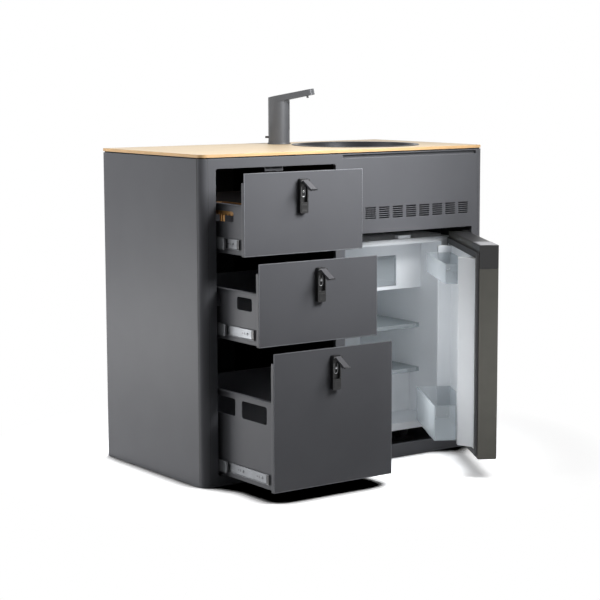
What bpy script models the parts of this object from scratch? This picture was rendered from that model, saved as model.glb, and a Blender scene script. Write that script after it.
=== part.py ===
"""Campervan kitchen pod: a sheet-metal cabinet with three drawers, a fridge, a round sink and a tap.

Units are metres and +Z is up. The origin is the centre of the pod's footprint on the floor, +X is to
the right of someone who stands in front of it, and -Y is the front. Drawers and the fridge door are
modelled shut, and an empty on each joint then moves them to the half-open position they rest in.
"""

import math

import bmesh
import bpy
from mathutils import Matrix, Vector

# The pod as a whole
POD_WIDTH = 0.950
POD_DEPTH = 0.500
POD_HEIGHT = 0.863
CORNER_RADIUS = 0.0215
SHEET = 0.002
GAP = 0.0003
OVERRUN = 0.004
ARC_STEPS = 6
BAY_ARC_STEPS = 4

# Worktop and the dark joint under it
WORKTOP_THICKNESS = 0.008
SHADOW_JOINT = 0.003
TOP_FRAME_HEIGHT = 0.012
TOP_FRAME_INSET = 0.0030
TOP_FRAME_LEG = 0.034
TOP_FRAME_FRONT_LEG = 0.019

# Housing
TRAY_THICKNESS = 0.003
PANEL_RETURN = 0.016
POST_RETURN = 0.012
BACK_INSET = 0.001

# Front frame, measured from the pod's left side and from the floor. The fridge bay keeps its width, and
# the drawer bay takes what is left
DRAWER_BAY_LEFT = 0.045
DRAWER_BAY_BOTTOM = 0.029
DRAWER_BAY_DROP = 0.037
DRAWER_BAY_TOP = POD_HEIGHT - DRAWER_BAY_DROP
DRAWER_BAY_RADIUS = 0.006
FRIDGE_BAY_WIDTH = 0.451
FRIDGE_BAY_MARGIN = 0.042
FRIDGE_BAY_RIGHT = POD_WIDTH - FRIDGE_BAY_MARGIN
FRIDGE_BAY_LEFT = FRIDGE_BAY_RIGHT - FRIDGE_BAY_WIDTH
FRIDGE_BAY_BOTTOM = 0.036
FRIDGE_BAY_TOP = 0.634
FRIDGE_BAY_RADIUS = 0.002
STILE_WIDTH = 0.031
DRAWER_BAY_RIGHT = FRIDGE_BAY_LEFT - STILE_WIDTH
BAY_RETURN = 0.010
TOP_SLOT_REACH = 0.008
TOP_SLOT_MARGIN = 0.029
TOP_SLOT_DROP = 0.0236
TOP_SLOT_LEFT = FRIDGE_BAY_LEFT - TOP_SLOT_REACH
TOP_SLOT_RIGHT = POD_WIDTH - TOP_SLOT_MARGIN
TOP_SLOT_BOTTOM = POD_HEIGHT - TOP_SLOT_DROP
TOP_SLOT_HEIGHT = 0.0095
SLOT_LIP_SETBACK = 0.009

# Keeper that the top drawer's latch hooks behind, folded down from the bay's return
KEEPER_WIDTH = 0.058
KEEPER_SHEET = 0.0014
KEEPER_RETURN = 0.0060
KEEPER_DROP = 0.0140

# Louvres in the front frame
LOUVRE_GROUPS = 9
LOUVRE_ROWS = 6
LOUVRE_MARGIN = 0.0213
LOUVRE_LEFT = FRIDGE_BAY_LEFT + LOUVRE_MARGIN
LOUVRE_PITCH = 0.0472
LOUVRE_LENGTH = 0.0380
LOUVRE_RISE_SHARE = 0.1865
LOUVRE_BOTTOM = FRIDGE_BAY_TOP + (TOP_SLOT_BOTTOM - FRIDGE_BAY_TOP) * LOUVRE_RISE_SHARE
LOUVRE_ROW_PITCH = 0.0057
LOUVRE_OPEN = 0.0036

# Inner walls
RUNNER_PANEL_THICKNESS = 0.002
RUNNER_PANEL_FOLD = 0.020
DIVIDER_WALL = 0.002
DIVIDER_FRONT_SETBACK = 0.0005
INNER_WALL_DROP = 0.027
INNER_WALL_TOP = POD_HEIGHT - INNER_WALL_DROP

# Drawer fronts and boxes
DRAWER_SIDE_GAP = 0.0042
PAN_DEPTH = 0.012
FRONT_FACE = 0.002
PAN_NOTCH = 0.024
BOX_BACK_ROOM = 0.060
BOX_DEPTH = POD_DEPTH - BOX_BACK_ROOM
BOX_WALL = 0.002
BOX_LIP = 0.008
BOX_LIP_THICKNESS = 0.002
BOX_FLOOR_RAISE = 0.002
SIDE_HOLE_RADIUS = 0.006
SIDE_HOLE_PITCH_SHARE = 0.3239
SIDE_HOLE_PITCH = BOX_DEPTH * SIDE_HOLE_PITCH_SHARE
LONG_HOLE_SHARE = 0.2545
SHORT_HOLE_SHARE = 0.1545
FIRST_HOLE_SHARE = 0.0727
TOP_FIRST_HOLE_SHARE = 0.1136
TOP_HOLE_HEIGHT = 0.0275
TOP_HOLE_DROP = 0.0195
MIDDLE_HOLE_HEIGHT = 0.033
MIDDLE_HOLE_DROP = 0.0165
BOTTOM_HOLE_HEIGHT = 0.045
BOTTOM_HOLE_DROP = 0.018
TOP_PULL = 0.122
MIDDLE_PULL = 0.185
BOTTOM_PULL = 0.248
TOP_LATCH_SHIFT = 0.009
MIDDLE_DRAWER_START = 0.030
BOTTOM_DRAWER_START = 0.060

# Low edge, high edge and box rim of each drawer, as shares of the drawer bay's height
DRAWER_SHARES = {
    "drawer_1": (0.7290, 0.9925, 0.8921),
    "drawer_2": (0.4504, 0.7139, 0.6198),
    "drawer_3": (0.0013, 0.4417, 0.2873),
}
PULLS = {"drawer_1": TOP_PULL, "drawer_2": MIDDLE_PULL, "drawer_3": BOTTOM_PULL}
LATCH_SHIFTS = {"drawer_1": TOP_LATCH_SHIFT, "drawer_2": 0, "drawer_3": 0}
MIDDLE_STARTS = {"drawer_1": 0, "drawer_2": MIDDLE_DRAWER_START, "drawer_3": BOTTOM_DRAWER_START}
SIDE_HOLES = {
    "drawer_1": {
        "count": 2,
        "start": BOX_DEPTH * TOP_FIRST_HOLE_SHARE,
        "length": BOX_DEPTH * LONG_HOLE_SHARE,
        "height": TOP_HOLE_HEIGHT,
        "drop": TOP_HOLE_DROP,
    },
    "drawer_2": {
        "count": 3,
        "start": BOX_DEPTH * FIRST_HOLE_SHARE,
        "length": BOX_DEPTH * SHORT_HOLE_SHARE,
        "height": MIDDLE_HOLE_HEIGHT,
        "drop": MIDDLE_HOLE_DROP,
    },
    "drawer_3": {
        "count": 3,
        "start": BOX_DEPTH * FIRST_HOLE_SHARE,
        "length": BOX_DEPTH * LONG_HOLE_SHARE,
        "height": BOTTOM_HOLE_HEIGHT,
        "drop": BOTTOM_HOLE_DROP,
    },
}


def drawer_sizes(name):
    """A drawer's heights in the drawer bay, and how far it is pulled out."""
    room = DRAWER_BAY_TOP - DRAWER_BAY_BOTTOM
    low, high, box_high = (DRAWER_BAY_BOTTOM + room * share for share in DRAWER_SHARES[name])
    return {"name": name, "low": low, "high": high, "box_high": box_high, "pull": PULLS[name]}


DRAWERS = [drawer_sizes(name) for name in DRAWER_SHARES]

# Telescopic runners, three members on each side of a drawer
RUNNER_DEPTH = 0.0127
RUNNER_END_ROOM = 0.020
RUNNER_LENGTH = BOX_DEPTH - RUNNER_END_ROOM
RUNNER_SETBACK = 0.030
RUNNER_SHEET = 0.0012
RUNNER_HALF_HEIGHT = 0.0165
RUNNER_RISE = 0.026
RUNNER_PLAY = 0.0004
FIXED_DEPTH = 0.0090
MIDDLE_SETBACK = 0.0018
MIDDLE_DEPTH = 0.0082
MOVING_DEPTH = 0.0045
RUNNER_STOP_LENGTH = 0.009
RUNNER_STOP_SINK = 0.0008

# Latches on the drawer fronts
LATCH_WIDTH = 0.025
LATCH_HEIGHT = 0.088
LATCH_PROUD = 0.0115
LATCH_DROP = 0.019
LATCH_RADIUS = 0.0035
LATCH_RECESS_TOP = 0.012
LATCH_RECESS_HEIGHT = 0.048
LATCH_RECESS_DEPTH = 0.008
LATCH_WALL = 0.0030
LATCH_BOSS_INSET = 0.004
LATCH_BOSS_LENGTH = 0.009
LATCH_LEVER_LENGTH = 0.046
LATCH_LEVER_THICKNESS = 0.0042
LATCH_LEVER_FLICK = 0.004
LATCH_LEVER_RIB = 0.010
LATCH_LEVER_RIB_DEPTH = 0.004
LATCH_PIVOT_DROP = 0.0050
LATCH_PIVOT_PROUD = 0.0157
LATCH_EAR = 0.0036
LATCH_PIN_RADIUS = 0.0016
LATCH_KNUCKLE_RADIUS = 0.0034
LATCH_OPEN_ANGLE = math.radians(60)

# Bamboo insert in the top drawer
INSERT_DROP = 0.0165
INSERT_TOP = DRAWERS[0]["box_high"] - INSERT_DROP
INSERT_WALL = 0.006
INSERT_FLOOR = 0.004
INSERT_LENGTH_SHARE = 0.75
INSERT_LENGTH = BOX_DEPTH * INSERT_LENGTH_SHARE
INSERT_WIDTH = 0.150
INSERT_END = 0.010
INSERT_TOOTH_DROP = 0.0145
INSERT_TOOTH_TIP = INSERT_TOP - INSERT_TOOTH_DROP
INSERT_TOOTH_DEPTH = 0.0062
INSERT_TOOTH_PITCH = 0.0168
INSERT_NOTCH_SHARE = 0.60

# Fridge cabinet, its X and Z from the pod's left side and the floor, and Y from the pod's front
FRIDGE_SIDE_ROOM = 0.006
FRIDGE_HINGE_ROOM = 0.005
FRIDGE_TOP_ROOM = 0.0295
FRIDGE_BACK_ROOM = 0.022
FRIDGE_LEFT = FRIDGE_BAY_LEFT + FRIDGE_SIDE_ROOM
FRIDGE_RIGHT = FRIDGE_BAY_RIGHT - FRIDGE_HINGE_ROOM
FRIDGE_FRONT = 0.058
FRIDGE_BACK = POD_DEPTH - FRIDGE_BACK_ROOM
FRIDGE_BOTTOM = 0.060
FRIDGE_TOP = FRIDGE_BAY_TOP - FRIDGE_TOP_ROOM

# Sink, over the fridge
SINK_MARGIN = 0.237
SINK_DEPTH_SHARE = 0.5803
SINK_PLACE_SHARE = 0.468
SINK_RADIUS_SHARE = 0.364
SINK_X = FRIDGE_BAY_RIGHT - SINK_MARGIN
SINK_Y = POD_DEPTH * SINK_PLACE_SHARE
SINK_RIM_RADIUS = POD_DEPTH * SINK_RADIUS_SHARE
SINK_RIM_HEIGHT = 0.0016
SINK_RIM_WIDTH = 0.012
SINK_WALL = 0.0016
SINK_DEPTH = (POD_HEIGHT - FRIDGE_TOP) * SINK_DEPTH_SHARE
SINK_TAPER = 0.057
SINK_FLOOR_RADIUS = SINK_RIM_RADIUS - SINK_TAPER
SINK_BLEND = 0.030
SINK_HOLE_RADIUS = 0.0260
SINK_SIDES = 40
WASTE_TUBE_RADIUS = 0.0200
WASTE_WALL = 0.0025
WASTE_FLANGE_RADIUS = 0.0330
WASTE_FLANGE_THICKNESS = 0.0020
WASTE_NUT_RADIUS = 0.0300
WASTE_NUT_THICKNESS = 0.0080
WASTE_LENGTH_SHARE = 0.2321
WASTE_LENGTH = (POD_HEIGHT - FRIDGE_TOP) * WASTE_LENGTH_SHARE

# Tap
TAP_MARGIN = 0.381
TAP_BACK_ROOM = 0.092
TAP_X = FRIDGE_BAY_RIGHT - TAP_MARGIN
TAP_Y = POD_DEPTH - TAP_BACK_ROOM
TAP_RADIUS = 0.031
TAP_COLUMN_HEIGHT = 0.139
TAP_STEM_RADIUS = 0.017
TAP_STEM_LENGTH = 0.050
TAP_SPOUT_RISE = math.radians(11)
TAP_SPOUT_THICKNESS = 0.0172
TAP_SPOUT_REACH = 0.103
TAP_SPOUT_TIP_WIDTH = 0.035
TAP_SPOUT_HEADING = math.atan2(SINK_Y - TAP_Y, SINK_X - TAP_X)
TAP_NOZZLE_RADIUS = 0.0032
TAP_NOZZLE_LENGTH = 0.006
TAP_NOZZLE_INSET = 0.020
TAP_GROOVE_WIDTH = 0.012
TAP_GROOVE_DEPTH = 0.0025
TAP_GROOVE_BOTTOM = 0.040
TAP_LEVER_WIDTH = 0.0080
TAP_LEVER_KNUCKLE = 0.0040
TAP_LEVER_HALF_HEIGHT = 0.0030
TAP_LEVER_REACH = 0.017
TAP_LEVER_SINK = 0.008
TAP_LEVER_HEIGHT = 0.020
TAP_LEVER_HEADING = math.radians(145)
TAP_SLOT_HALF_HEIGHT = 0.0070

# Fridge cavity, feet, compressor, ice box and shelves
FLANGE_BEVEL = 0.010
FLANGE_BEVEL_SETBACK = 0.005
CAVITY_SIDE_WALL = 0.040
CAVITY_HINGE_WALL = 0.058
CAVITY_FLOOR = 0.020
CAVITY_ROOF = 0.0145
CAVITY_REAR_WALL = 0.042
CAVITY_LEFT = FRIDGE_LEFT + CAVITY_SIDE_WALL
CAVITY_RIGHT = FRIDGE_RIGHT - CAVITY_HINGE_WALL
CAVITY_BOTTOM = FRIDGE_BOTTOM + CAVITY_FLOOR
CAVITY_TOP = FRIDGE_TOP - CAVITY_ROOF
CAVITY_BACK = FRIDGE_BACK - CAVITY_REAR_WALL
HUMP_FRONT_SHARE = 0.3757
HUMP_HEIGHT = 0.130
HUMP_FRONT = FRIDGE_FRONT + (CAVITY_BACK - FRIDGE_FRONT) * HUMP_FRONT_SHARE
HUMP_TOP = CAVITY_BOTTOM + HUMP_HEIGHT
FOOT_RADIUS = 0.028
FOOT_DISC = 0.012
FOOT_STEM_RADIUS = 0.012
FOOT_SIDE_INSET = 0.101
FOOT_FRONT_INSET = 0.114
LEG_DEPTH = 0.055
COMPRESSOR_BAY_DEPTH = 0.130
COMPRESSOR_BAY_TOP = 0.165
COMPRESSOR_BAY_MARGIN = 0.030
COMPRESSOR_RADIUS = 0.042
COMPRESSOR_LENGTH = 0.150
COMPRESSOR_SEAT_WIDTH = 0.070
CATCH_FROM_LEFT = 0.2525
CATCH_SETBACK = 0.007
CATCH_WIDTH = 0.044
CATCH_DEPTH = 0.016
CATCH_HEIGHT = 0.009
ICE_BOX_DROP = 0.140
ICE_BOX_BOTTOM = CAVITY_TOP - ICE_BOX_DROP
ICE_BOX_FRONT_SHARE = 0.2434
ICE_BOX_FRONT = FRIDGE_FRONT + (CAVITY_BACK - FRIDGE_FRONT) * ICE_BOX_FRONT_SHARE
ICE_BOX_WALL = 0.003
ICE_BOX_FASCIA = 0.004
FLAP_LEFT_MARGIN = 0.014
FLAP_RIGHT_MARGIN = 0.090
FLAP_RISE = 0.010
FLAP_HEAD = 0.042
FLAP_LEFT = CAVITY_LEFT + FLAP_LEFT_MARGIN
FLAP_RIGHT = CAVITY_RIGHT - FLAP_RIGHT_MARGIN
FLAP_BOTTOM = ICE_BOX_BOTTOM + FLAP_RISE
FLAP_TOP = CAVITY_TOP - FLAP_HEAD
FLAP_THICKNESS = 0.003
FLAP_PLAY = 0.001
FLAP_PIN_RADIUS = 0.0025
FLAP_PIN_LENGTH = 0.004
FLAP_PIN_SETBACK = 0.006
FLAP_PIN_DROP = 0.005
UPPER_SHELF_RISE = 0.265
LOWER_SHELF_RISE = 0.1343
SHELF_FRONT_SHARE = 0.2566
SHELF_FRONT = FRIDGE_FRONT + (CAVITY_BACK - FRIDGE_FRONT) * SHELF_FRONT_SHARE
SHELVES = (
    {"name": "glass_shelf_upper", "top": CAVITY_BOTTOM + UPPER_SHELF_RISE},
    {"name": "glass_shelf_lower", "top": CAVITY_BOTTOM + LOWER_SHELF_RISE},
)
SHELF_BACK_ROOM = 0.036
SHELF_BACK = CAVITY_BACK - SHELF_BACK_ROOM
SHELF_GLASS = 0.004
SHELF_TRIM_HEIGHT = 0.013
SHELF_TRIM_DEPTH = 0.012

# Fridge door. Lengths along the door start at the hinge pin, and depths go inwards from its outer face
HINGE_MARGIN = 0.015
HINGE_X = FRIDGE_RIGHT - HINGE_MARGIN
HINGE_Y = 0.008
DOOR_FREE_REACH = 0.4270
DOOR_HINGE_REACH = 0.0125
DOOR_BOTTOM = 0.056
DOOR_TOP_ROOM = 0.014
DOOR_TOP = FRIDGE_BAY_TOP - DOOR_TOP_ROOM
DOOR_SHELL_DEPTH = 0.051
SEAL_DEPTH = 0.0064
SEAL_INSET = 0.003
SEAL_HINGE_INSET = 0.008
SEAL_WIDTH = 0.016
SEAL_RADIUS = 0.006
SEAL_RISE = 0.007
SEAL_DROP = 0.017
SEAL_BOTTOM = DOOR_BOTTOM + SEAL_RISE
SEAL_TOP = DOOR_TOP - SEAL_DROP
LINER_DEPTH = 0.0373
LINER_WALL = 0.018
LINER_SHEET = 0.003
LINER_HINGE_SIDE = 0.048
LINER_FREE_MARGIN = 0.051
LINER_FREE_SIDE = DOOR_FREE_REACH - LINER_FREE_MARGIN
LINER_FREE_SPREAD = 0.031
LINER_ROOM = 0.002
LINER_RISE = 0.028
LINER_DROP = 0.034
LINER_BOTTOM = DOOR_BOTTOM + LINER_RISE
LINER_TOP = DOOR_TOP - LINER_DROP
LATCH_BLOCK_LENGTH = 0.095
LATCH_BLOCK_DROP = 0.060
LATCH_BLOCK_RISE = 0.002
LATCH_BLOCK_GRIP = 0.022
LATCH_BLOCK_GRIP_DEPTH = 0.018
BIN_WALL = 0.0025
BIN_SIDE_GAP = 0.0010
UPPER_BIN_DROP = 0.106
UPPER_BIN_BOTTOM = DOOR_TOP - UPPER_BIN_DROP
UPPER_BIN_HEIGHT = 0.053
UPPER_BIN_PROUD = 0.033
LOWER_BIN_RISE = 0.037
LOWER_BIN_BOTTOM = DOOR_BOTTOM + LOWER_BIN_RISE
LOWER_BIN_HEIGHT = 0.094
LOWER_BIN_PROUD = 0.059
DOOR_REST_ANGLE = math.radians(60)

# Hinge brackets of the fridge door
HINGE_PLATE = 0.0025
HINGE_ARM_WIDTH = 0.024
HINGE_ARM_FRONT = 0.001
HINGE_ARM_BACK = 0.040
HINGE_PIN_RADIUS = 0.0035
HINGE_PIN_PLAY = 0.0005
HINGE_PIN_LENGTH = 0.012

LEFT = -POD_WIDTH / 2
RIGHT = POD_WIDTH / 2
FRONT = -POD_DEPTH / 2
BACK = POD_DEPTH / 2
WORKTOP_BOTTOM = POD_HEIGHT - WORKTOP_THICKNESS
HOUSING_TOP = WORKTOP_BOTTOM - SHADOW_JOINT
HOUSING_BOTTOM = TRAY_THICKNESS + GAP
INNER = SHEET + GAP


def clear_scene():
    for thing in list(bpy.data.objects):
        bpy.data.objects.remove(thing, do_unlink=True)


def make_collection(name):
    found = bpy.data.collections.new(name)
    bpy.context.scene.collection.children.link(found)
    return found


def make_material(name, colour, roughness, metallic=0.0, alpha=1.0):
    made = bpy.data.materials.new(name)
    made.use_nodes = True
    shader = made.node_tree.nodes["Principled BSDF"]
    shader.inputs["Base Color"].default_value = (*colour, 1.0)
    shader.inputs["Roughness"].default_value = roughness
    shader.inputs["Metallic"].default_value = metallic
    shader.inputs["Alpha"].default_value = alpha
    return made


def at(x, y, z):
    """A point given from the pod's front left bottom corner, in the part's own frame."""
    return Vector((LEFT + x, FRONT + y, z))


def file_away(thing, name, surface):
    """Names an object, gives it its own material, and moves it into the pod's collection."""
    thing.name = name
    thing.data.name = name
    colour, roughness, metallic, alpha = surface
    thing.data.materials.clear()
    thing.data.materials.append(make_material(name, colour, roughness, metallic, alpha))
    for owner in list(thing.users_collection):
        owner.objects.unlink(thing)
    POD.objects.link(thing)
    return thing


def make_cutter(thing, name):
    thing.name = name
    thing.hide_render = True
    thing.display_type = "WIRE"
    for owner in list(thing.users_collection):
        owner.objects.unlink(thing)
    CUTTERS.objects.link(thing)
    return thing


def block(low, high):
    """A box between two opposite corners, with its origin at its centre."""
    low = Vector(low)
    high = Vector(high)
    bpy.ops.mesh.primitive_cube_add(size=1, location=(low + high) / 2)
    made = bpy.context.object
    made.data.transform(Matrix.Diagonal((*(high - low), 1)))
    return made


def round_bar(radius, start, end, sides=24):
    """A cylinder from one point to another."""
    start = Vector(start)
    end = Vector(end)
    along = end - start
    bpy.ops.mesh.primitive_cylinder_add(
        radius=radius, depth=along.length, vertices=sides, location=(start + end) / 2
    )
    made = bpy.context.object
    made.data.transform(along.to_track_quat("Z", "Y").to_matrix().to_4x4())
    made.data.shade_smooth()
    made.data.set_sharp_from_angle(angle=math.radians(40))
    return made


def prism(loops, thickness, frame):
    """A flat outline with holes, thickened both ways about the plane of frame, as a mesh."""
    curve = bpy.data.curves.new("outline", "CURVE")
    curve.dimensions = "2D"
    curve.fill_mode = "BOTH"
    curve.extrude = thickness / 2
    for loop in loops:
        spline = curve.splines.new("POLY")
        spline.points.add(len(loop) - 1)
        for point, (u, v) in zip(spline.points, loop):
            point.co = (u, v, 0, 1)
        spline.use_cyclic_u = True
    holder = bpy.data.objects.new("outline", curve)
    bpy.context.scene.collection.objects.link(holder)
    bpy.context.view_layer.update()
    graph = bpy.context.evaluated_depsgraph_get()
    mesh = bpy.data.meshes.new_from_object(holder.evaluated_get(graph))
    bpy.data.objects.remove(holder, do_unlink=True)
    bpy.data.curves.remove(curve)
    work = bmesh.new()
    work.from_mesh(mesh)
    bmesh.ops.remove_doubles(work, verts=work.verts, dist=GAP / 10)
    bmesh.ops.recalc_face_normals(work, faces=work.faces)
    work.to_mesh(mesh)
    work.free()
    made = bpy.data.objects.new("prism", mesh)
    bpy.context.scene.collection.objects.link(made)
    made.data.transform(frame.to_3x3().to_4x4())
    made.location = frame.translation
    return made


def plan_frame(z):
    """Outline axes along X and Y, in a level plane at height z."""
    return Matrix.Translation((0, 0, z))


def front_frame_at(y):
    """Outline axes along X and Z, in an upright plane that faces the front."""
    turn = Matrix(((1, 0, 0, 0), (0, 0, -1, 0), (0, 1, 0, 0), (0, 0, 0, 1)))
    return Matrix.Translation((0, y, 0)) @ turn


def side_frame_at(x):
    """Outline axes along Y and Z, in an upright plane that faces the side."""
    turn = Matrix(((0, 0, 1, 0), (1, 0, 0, 0), (0, 1, 0, 0), (0, 0, 0, 1)))
    return Matrix.Translation((x, 0, 0)) @ turn


def arc(centre, radius, start, end, steps=ARC_STEPS):
    return [
        (
            centre[0] + radius * math.cos(start + (end - start) * i / steps),
            centre[1] + radius * math.sin(start + (end - start) * i / steps),
        )
        for i in range(steps + 1)
    ]


def rectangle(low, high):
    return [(low[0], low[1]), (high[0], low[1]), (high[0], high[1]), (low[0], high[1])]


def rounded(low, high, radius, steps=ARC_STEPS):
    """A rectangle with round corners, anticlockwise from its lower right corner."""
    quarter = math.pi / 2
    corners = (
        ((high[0] - radius, low[1] + radius), -quarter),
        ((high[0] - radius, high[1] - radius), 0),
        ((low[0] + radius, high[1] - radius), quarter),
        ((low[0] + radius, low[1] + radius), 2 * quarter),
    )
    points = []
    for centre, start in corners:
        points += arc(centre, radius, start, start + quarter, steps)
    return points


def footprint(inset, back_inset=0):
    """The pod's plan, square at the back and round at the two front corners."""
    radius = CORNER_RADIUS - inset
    right = RIGHT - inset
    front = FRONT + inset
    quarter = math.pi / 2
    right_arc = arc((right - radius, front + radius), radius, -quarter, 0)
    left_arc = arc((-right + radius, front + radius), radius, 2 * quarter, 3 * quarter)
    back = BACK - back_inset
    return [*right_arc, (right, back), (-right, back), *left_arc]


def boolean(thing, other, operation="DIFFERENCE"):
    made = thing.modifiers.new(operation.title(), "BOOLEAN")
    made.operation = operation
    made.solver = "EXACT"
    made.object = other
    return made


def follow(thing, other):
    """Keeps a cutter in step with the piece that it shapes when a joint moves the piece."""
    other.parent = thing
    other.matrix_parent_inverse = thing.matrix_basis.inverted()


def cut(thing, other, name):
    make_cutter(other, name)
    follow(thing, other)
    boolean(thing, other)


def join(thing, other, name):
    make_cutter(other, name)
    follow(thing, other)
    boolean(thing, other, "UNION")


def weld(thing):
    """Closes the slivers that a Boolean can leave along curved edges."""
    made = thing.modifiers.new("Weld", "WELD")
    made.merge_threshold = GAP / 2


def bevel(thing, width, segments=2, angle=math.radians(50)):
    made = thing.modifiers.new("Bevel", "BEVEL")
    made.width = width
    made.segments = segments
    made.limit_method = "ANGLE"
    made.angle_limit = angle
    made.use_clamp_overlap = True


def joint_empty(name, place, parent=None):
    empty = bpy.data.objects.new(name, None)
    empty.empty_display_size = CORNER_RADIUS
    POD.objects.link(empty)
    if parent:
        empty.parent = parent
        empty.matrix_parent_inverse = Matrix.Translation(-parent.location)
    empty.location = place
    return empty


def hang_on(pieces, empty):
    """Parents pieces to a joint's empty, keeping them where they were modelled."""
    bpy.context.view_layer.update()
    for piece in pieces:
        piece.parent = empty
        piece.matrix_parent_inverse = empty.matrix_world.inverted()


# Finishes: colour, roughness, metallic and alpha
GREY_COAT = ((0.150, 0.152, 0.158), 0.45, 0.0, 1.0)
DARK_COAT = ((0.020, 0.020, 0.021), 0.50, 0.0, 1.0)
BLACK_PLASTIC = ((0.018, 0.018, 0.019), 0.45, 0.0, 1.0)
ZINC = ((0.62, 0.63, 0.64), 0.30, 1.0, 1.0)
BAMBOO = ((0.80, 0.60, 0.36), 0.50, 0.0, 1.0)
ANTHRACITE = ((0.060, 0.062, 0.066), 0.38, 0.4, 1.0)
WHITE_PLASTIC = ((0.75, 0.78, 0.80), 0.35, 0.0, 1.0)
CLEAR_PLASTIC = ((0.72, 0.76, 0.80), 0.15, 0.0, 0.5)
OLIVE_METAL = ((0.115, 0.113, 0.100), 0.40, 0.3, 1.0)
RUBBER = ((0.022, 0.022, 0.023), 0.70, 0.0, 1.0)
GLASS = ((0.80, 0.88, 0.90), 0.05, 0.0, 0.4)
BLACK_STEEL = ((0.030, 0.030, 0.032), 0.35, 0.6, 1.0)


def build_base_tray():
    """Floor plate of the housing, with the pod's whole plan."""
    middle = TRAY_THICKNESS / 2
    tray = prism([footprint(0)], TRAY_THICKNESS, plan_frame(middle))
    file_away(tray, "base_tray", GREY_COAT)


def upright(outline, low, high):
    """A folded sheet seen from above as outline, standing from low to high."""
    return prism([outline], high - low, plan_frame((low + high) / 2))


def mirrored(outline):
    return [(-x, y) for x, y in reversed(outline)]


def build_side_panels():
    """Flat outer side sheets, folded in at the front seam and at the back."""
    seam = FRONT + CORNER_RADIUS + GAP / 2
    back = BACK - BACK_INSET
    outer = LEFT
    inner = LEFT + SHEET
    fold = LEFT + PANEL_RETURN
    outline = [
        (outer, seam),
        (fold, seam),
        (fold, seam + SHEET),
        (inner, seam + SHEET),
        (inner, back - SHEET),
        (fold, back - SHEET),
        (fold, back),
        (outer, back),
    ]
    for side, plan in (("left", outline), ("right", mirrored(outline))):
        panel = upright(plan, HOUSING_BOTTOM, HOUSING_TOP)
        file_away(panel, f"side_panel_{side}", GREY_COAT)


def build_corner_posts():
    """Round corner profiles between each side panel and the front frame."""
    centre = (LEFT + CORNER_RADIUS, FRONT + CORNER_RADIUS)
    half = math.pi
    outer = arc(centre, CORNER_RADIUS, half, 1.5 * half, 2 * ARC_STEPS)
    inner = arc(centre, CORNER_RADIUS - SHEET, 1.5 * half, half, ARC_STEPS)
    seam = FRONT + CORNER_RADIUS - GAP / 2
    end = LEFT + CORNER_RADIUS - GAP / 2
    outer[0] = (LEFT, seam)
    outer[-1] = (end, FRONT)
    fold_front = [(end, FRONT + POST_RETURN), (end - SHEET, FRONT + POST_RETURN)]
    fold_side = [(LEFT + POST_RETURN, seam - SHEET), (LEFT + POST_RETURN, seam)]
    outline = [*outer, *fold_front, (end - SHEET, FRONT + SHEET), *inner[1:-1]]
    outline += [(LEFT + SHEET, seam - SHEET), *fold_side]
    for side, plan in (("left", outline), ("right", mirrored(outline))):
        post = upright(plan, HOUSING_BOTTOM, HOUSING_TOP)
        file_away(post, f"corner_post_{side}", GREY_COAT)


def build_back_panel():
    side = RIGHT - PANEL_RETURN - GAP
    low = (-side, HOUSING_BOTTOM)
    high = (side, HOUSING_TOP)
    middle = BACK - BACK_INSET - SHEET / 2
    panel = prism([rectangle(low, high)], SHEET, front_frame_at(middle))
    file_away(panel, "back_panel", GREY_COAT)


def louvre_loops():
    loops = []
    radius = LOUVRE_OPEN / 2
    for group in range(LOUVRE_GROUPS):
        left = LEFT + LOUVRE_LEFT + group * LOUVRE_PITCH
        for row in range(LOUVRE_ROWS):
            low = LOUVRE_BOTTOM + row * LOUVRE_ROW_PITCH
            right_end = arc((left + LOUVRE_LENGTH - radius, low + radius), radius, -math.pi / 2, math.pi / 2, 2)
            left_end = arc((left + radius, low + radius), radius, math.pi / 2, 1.5 * math.pi, 2)
            loops.append([*right_end, *left_end])
    return loops


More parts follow.
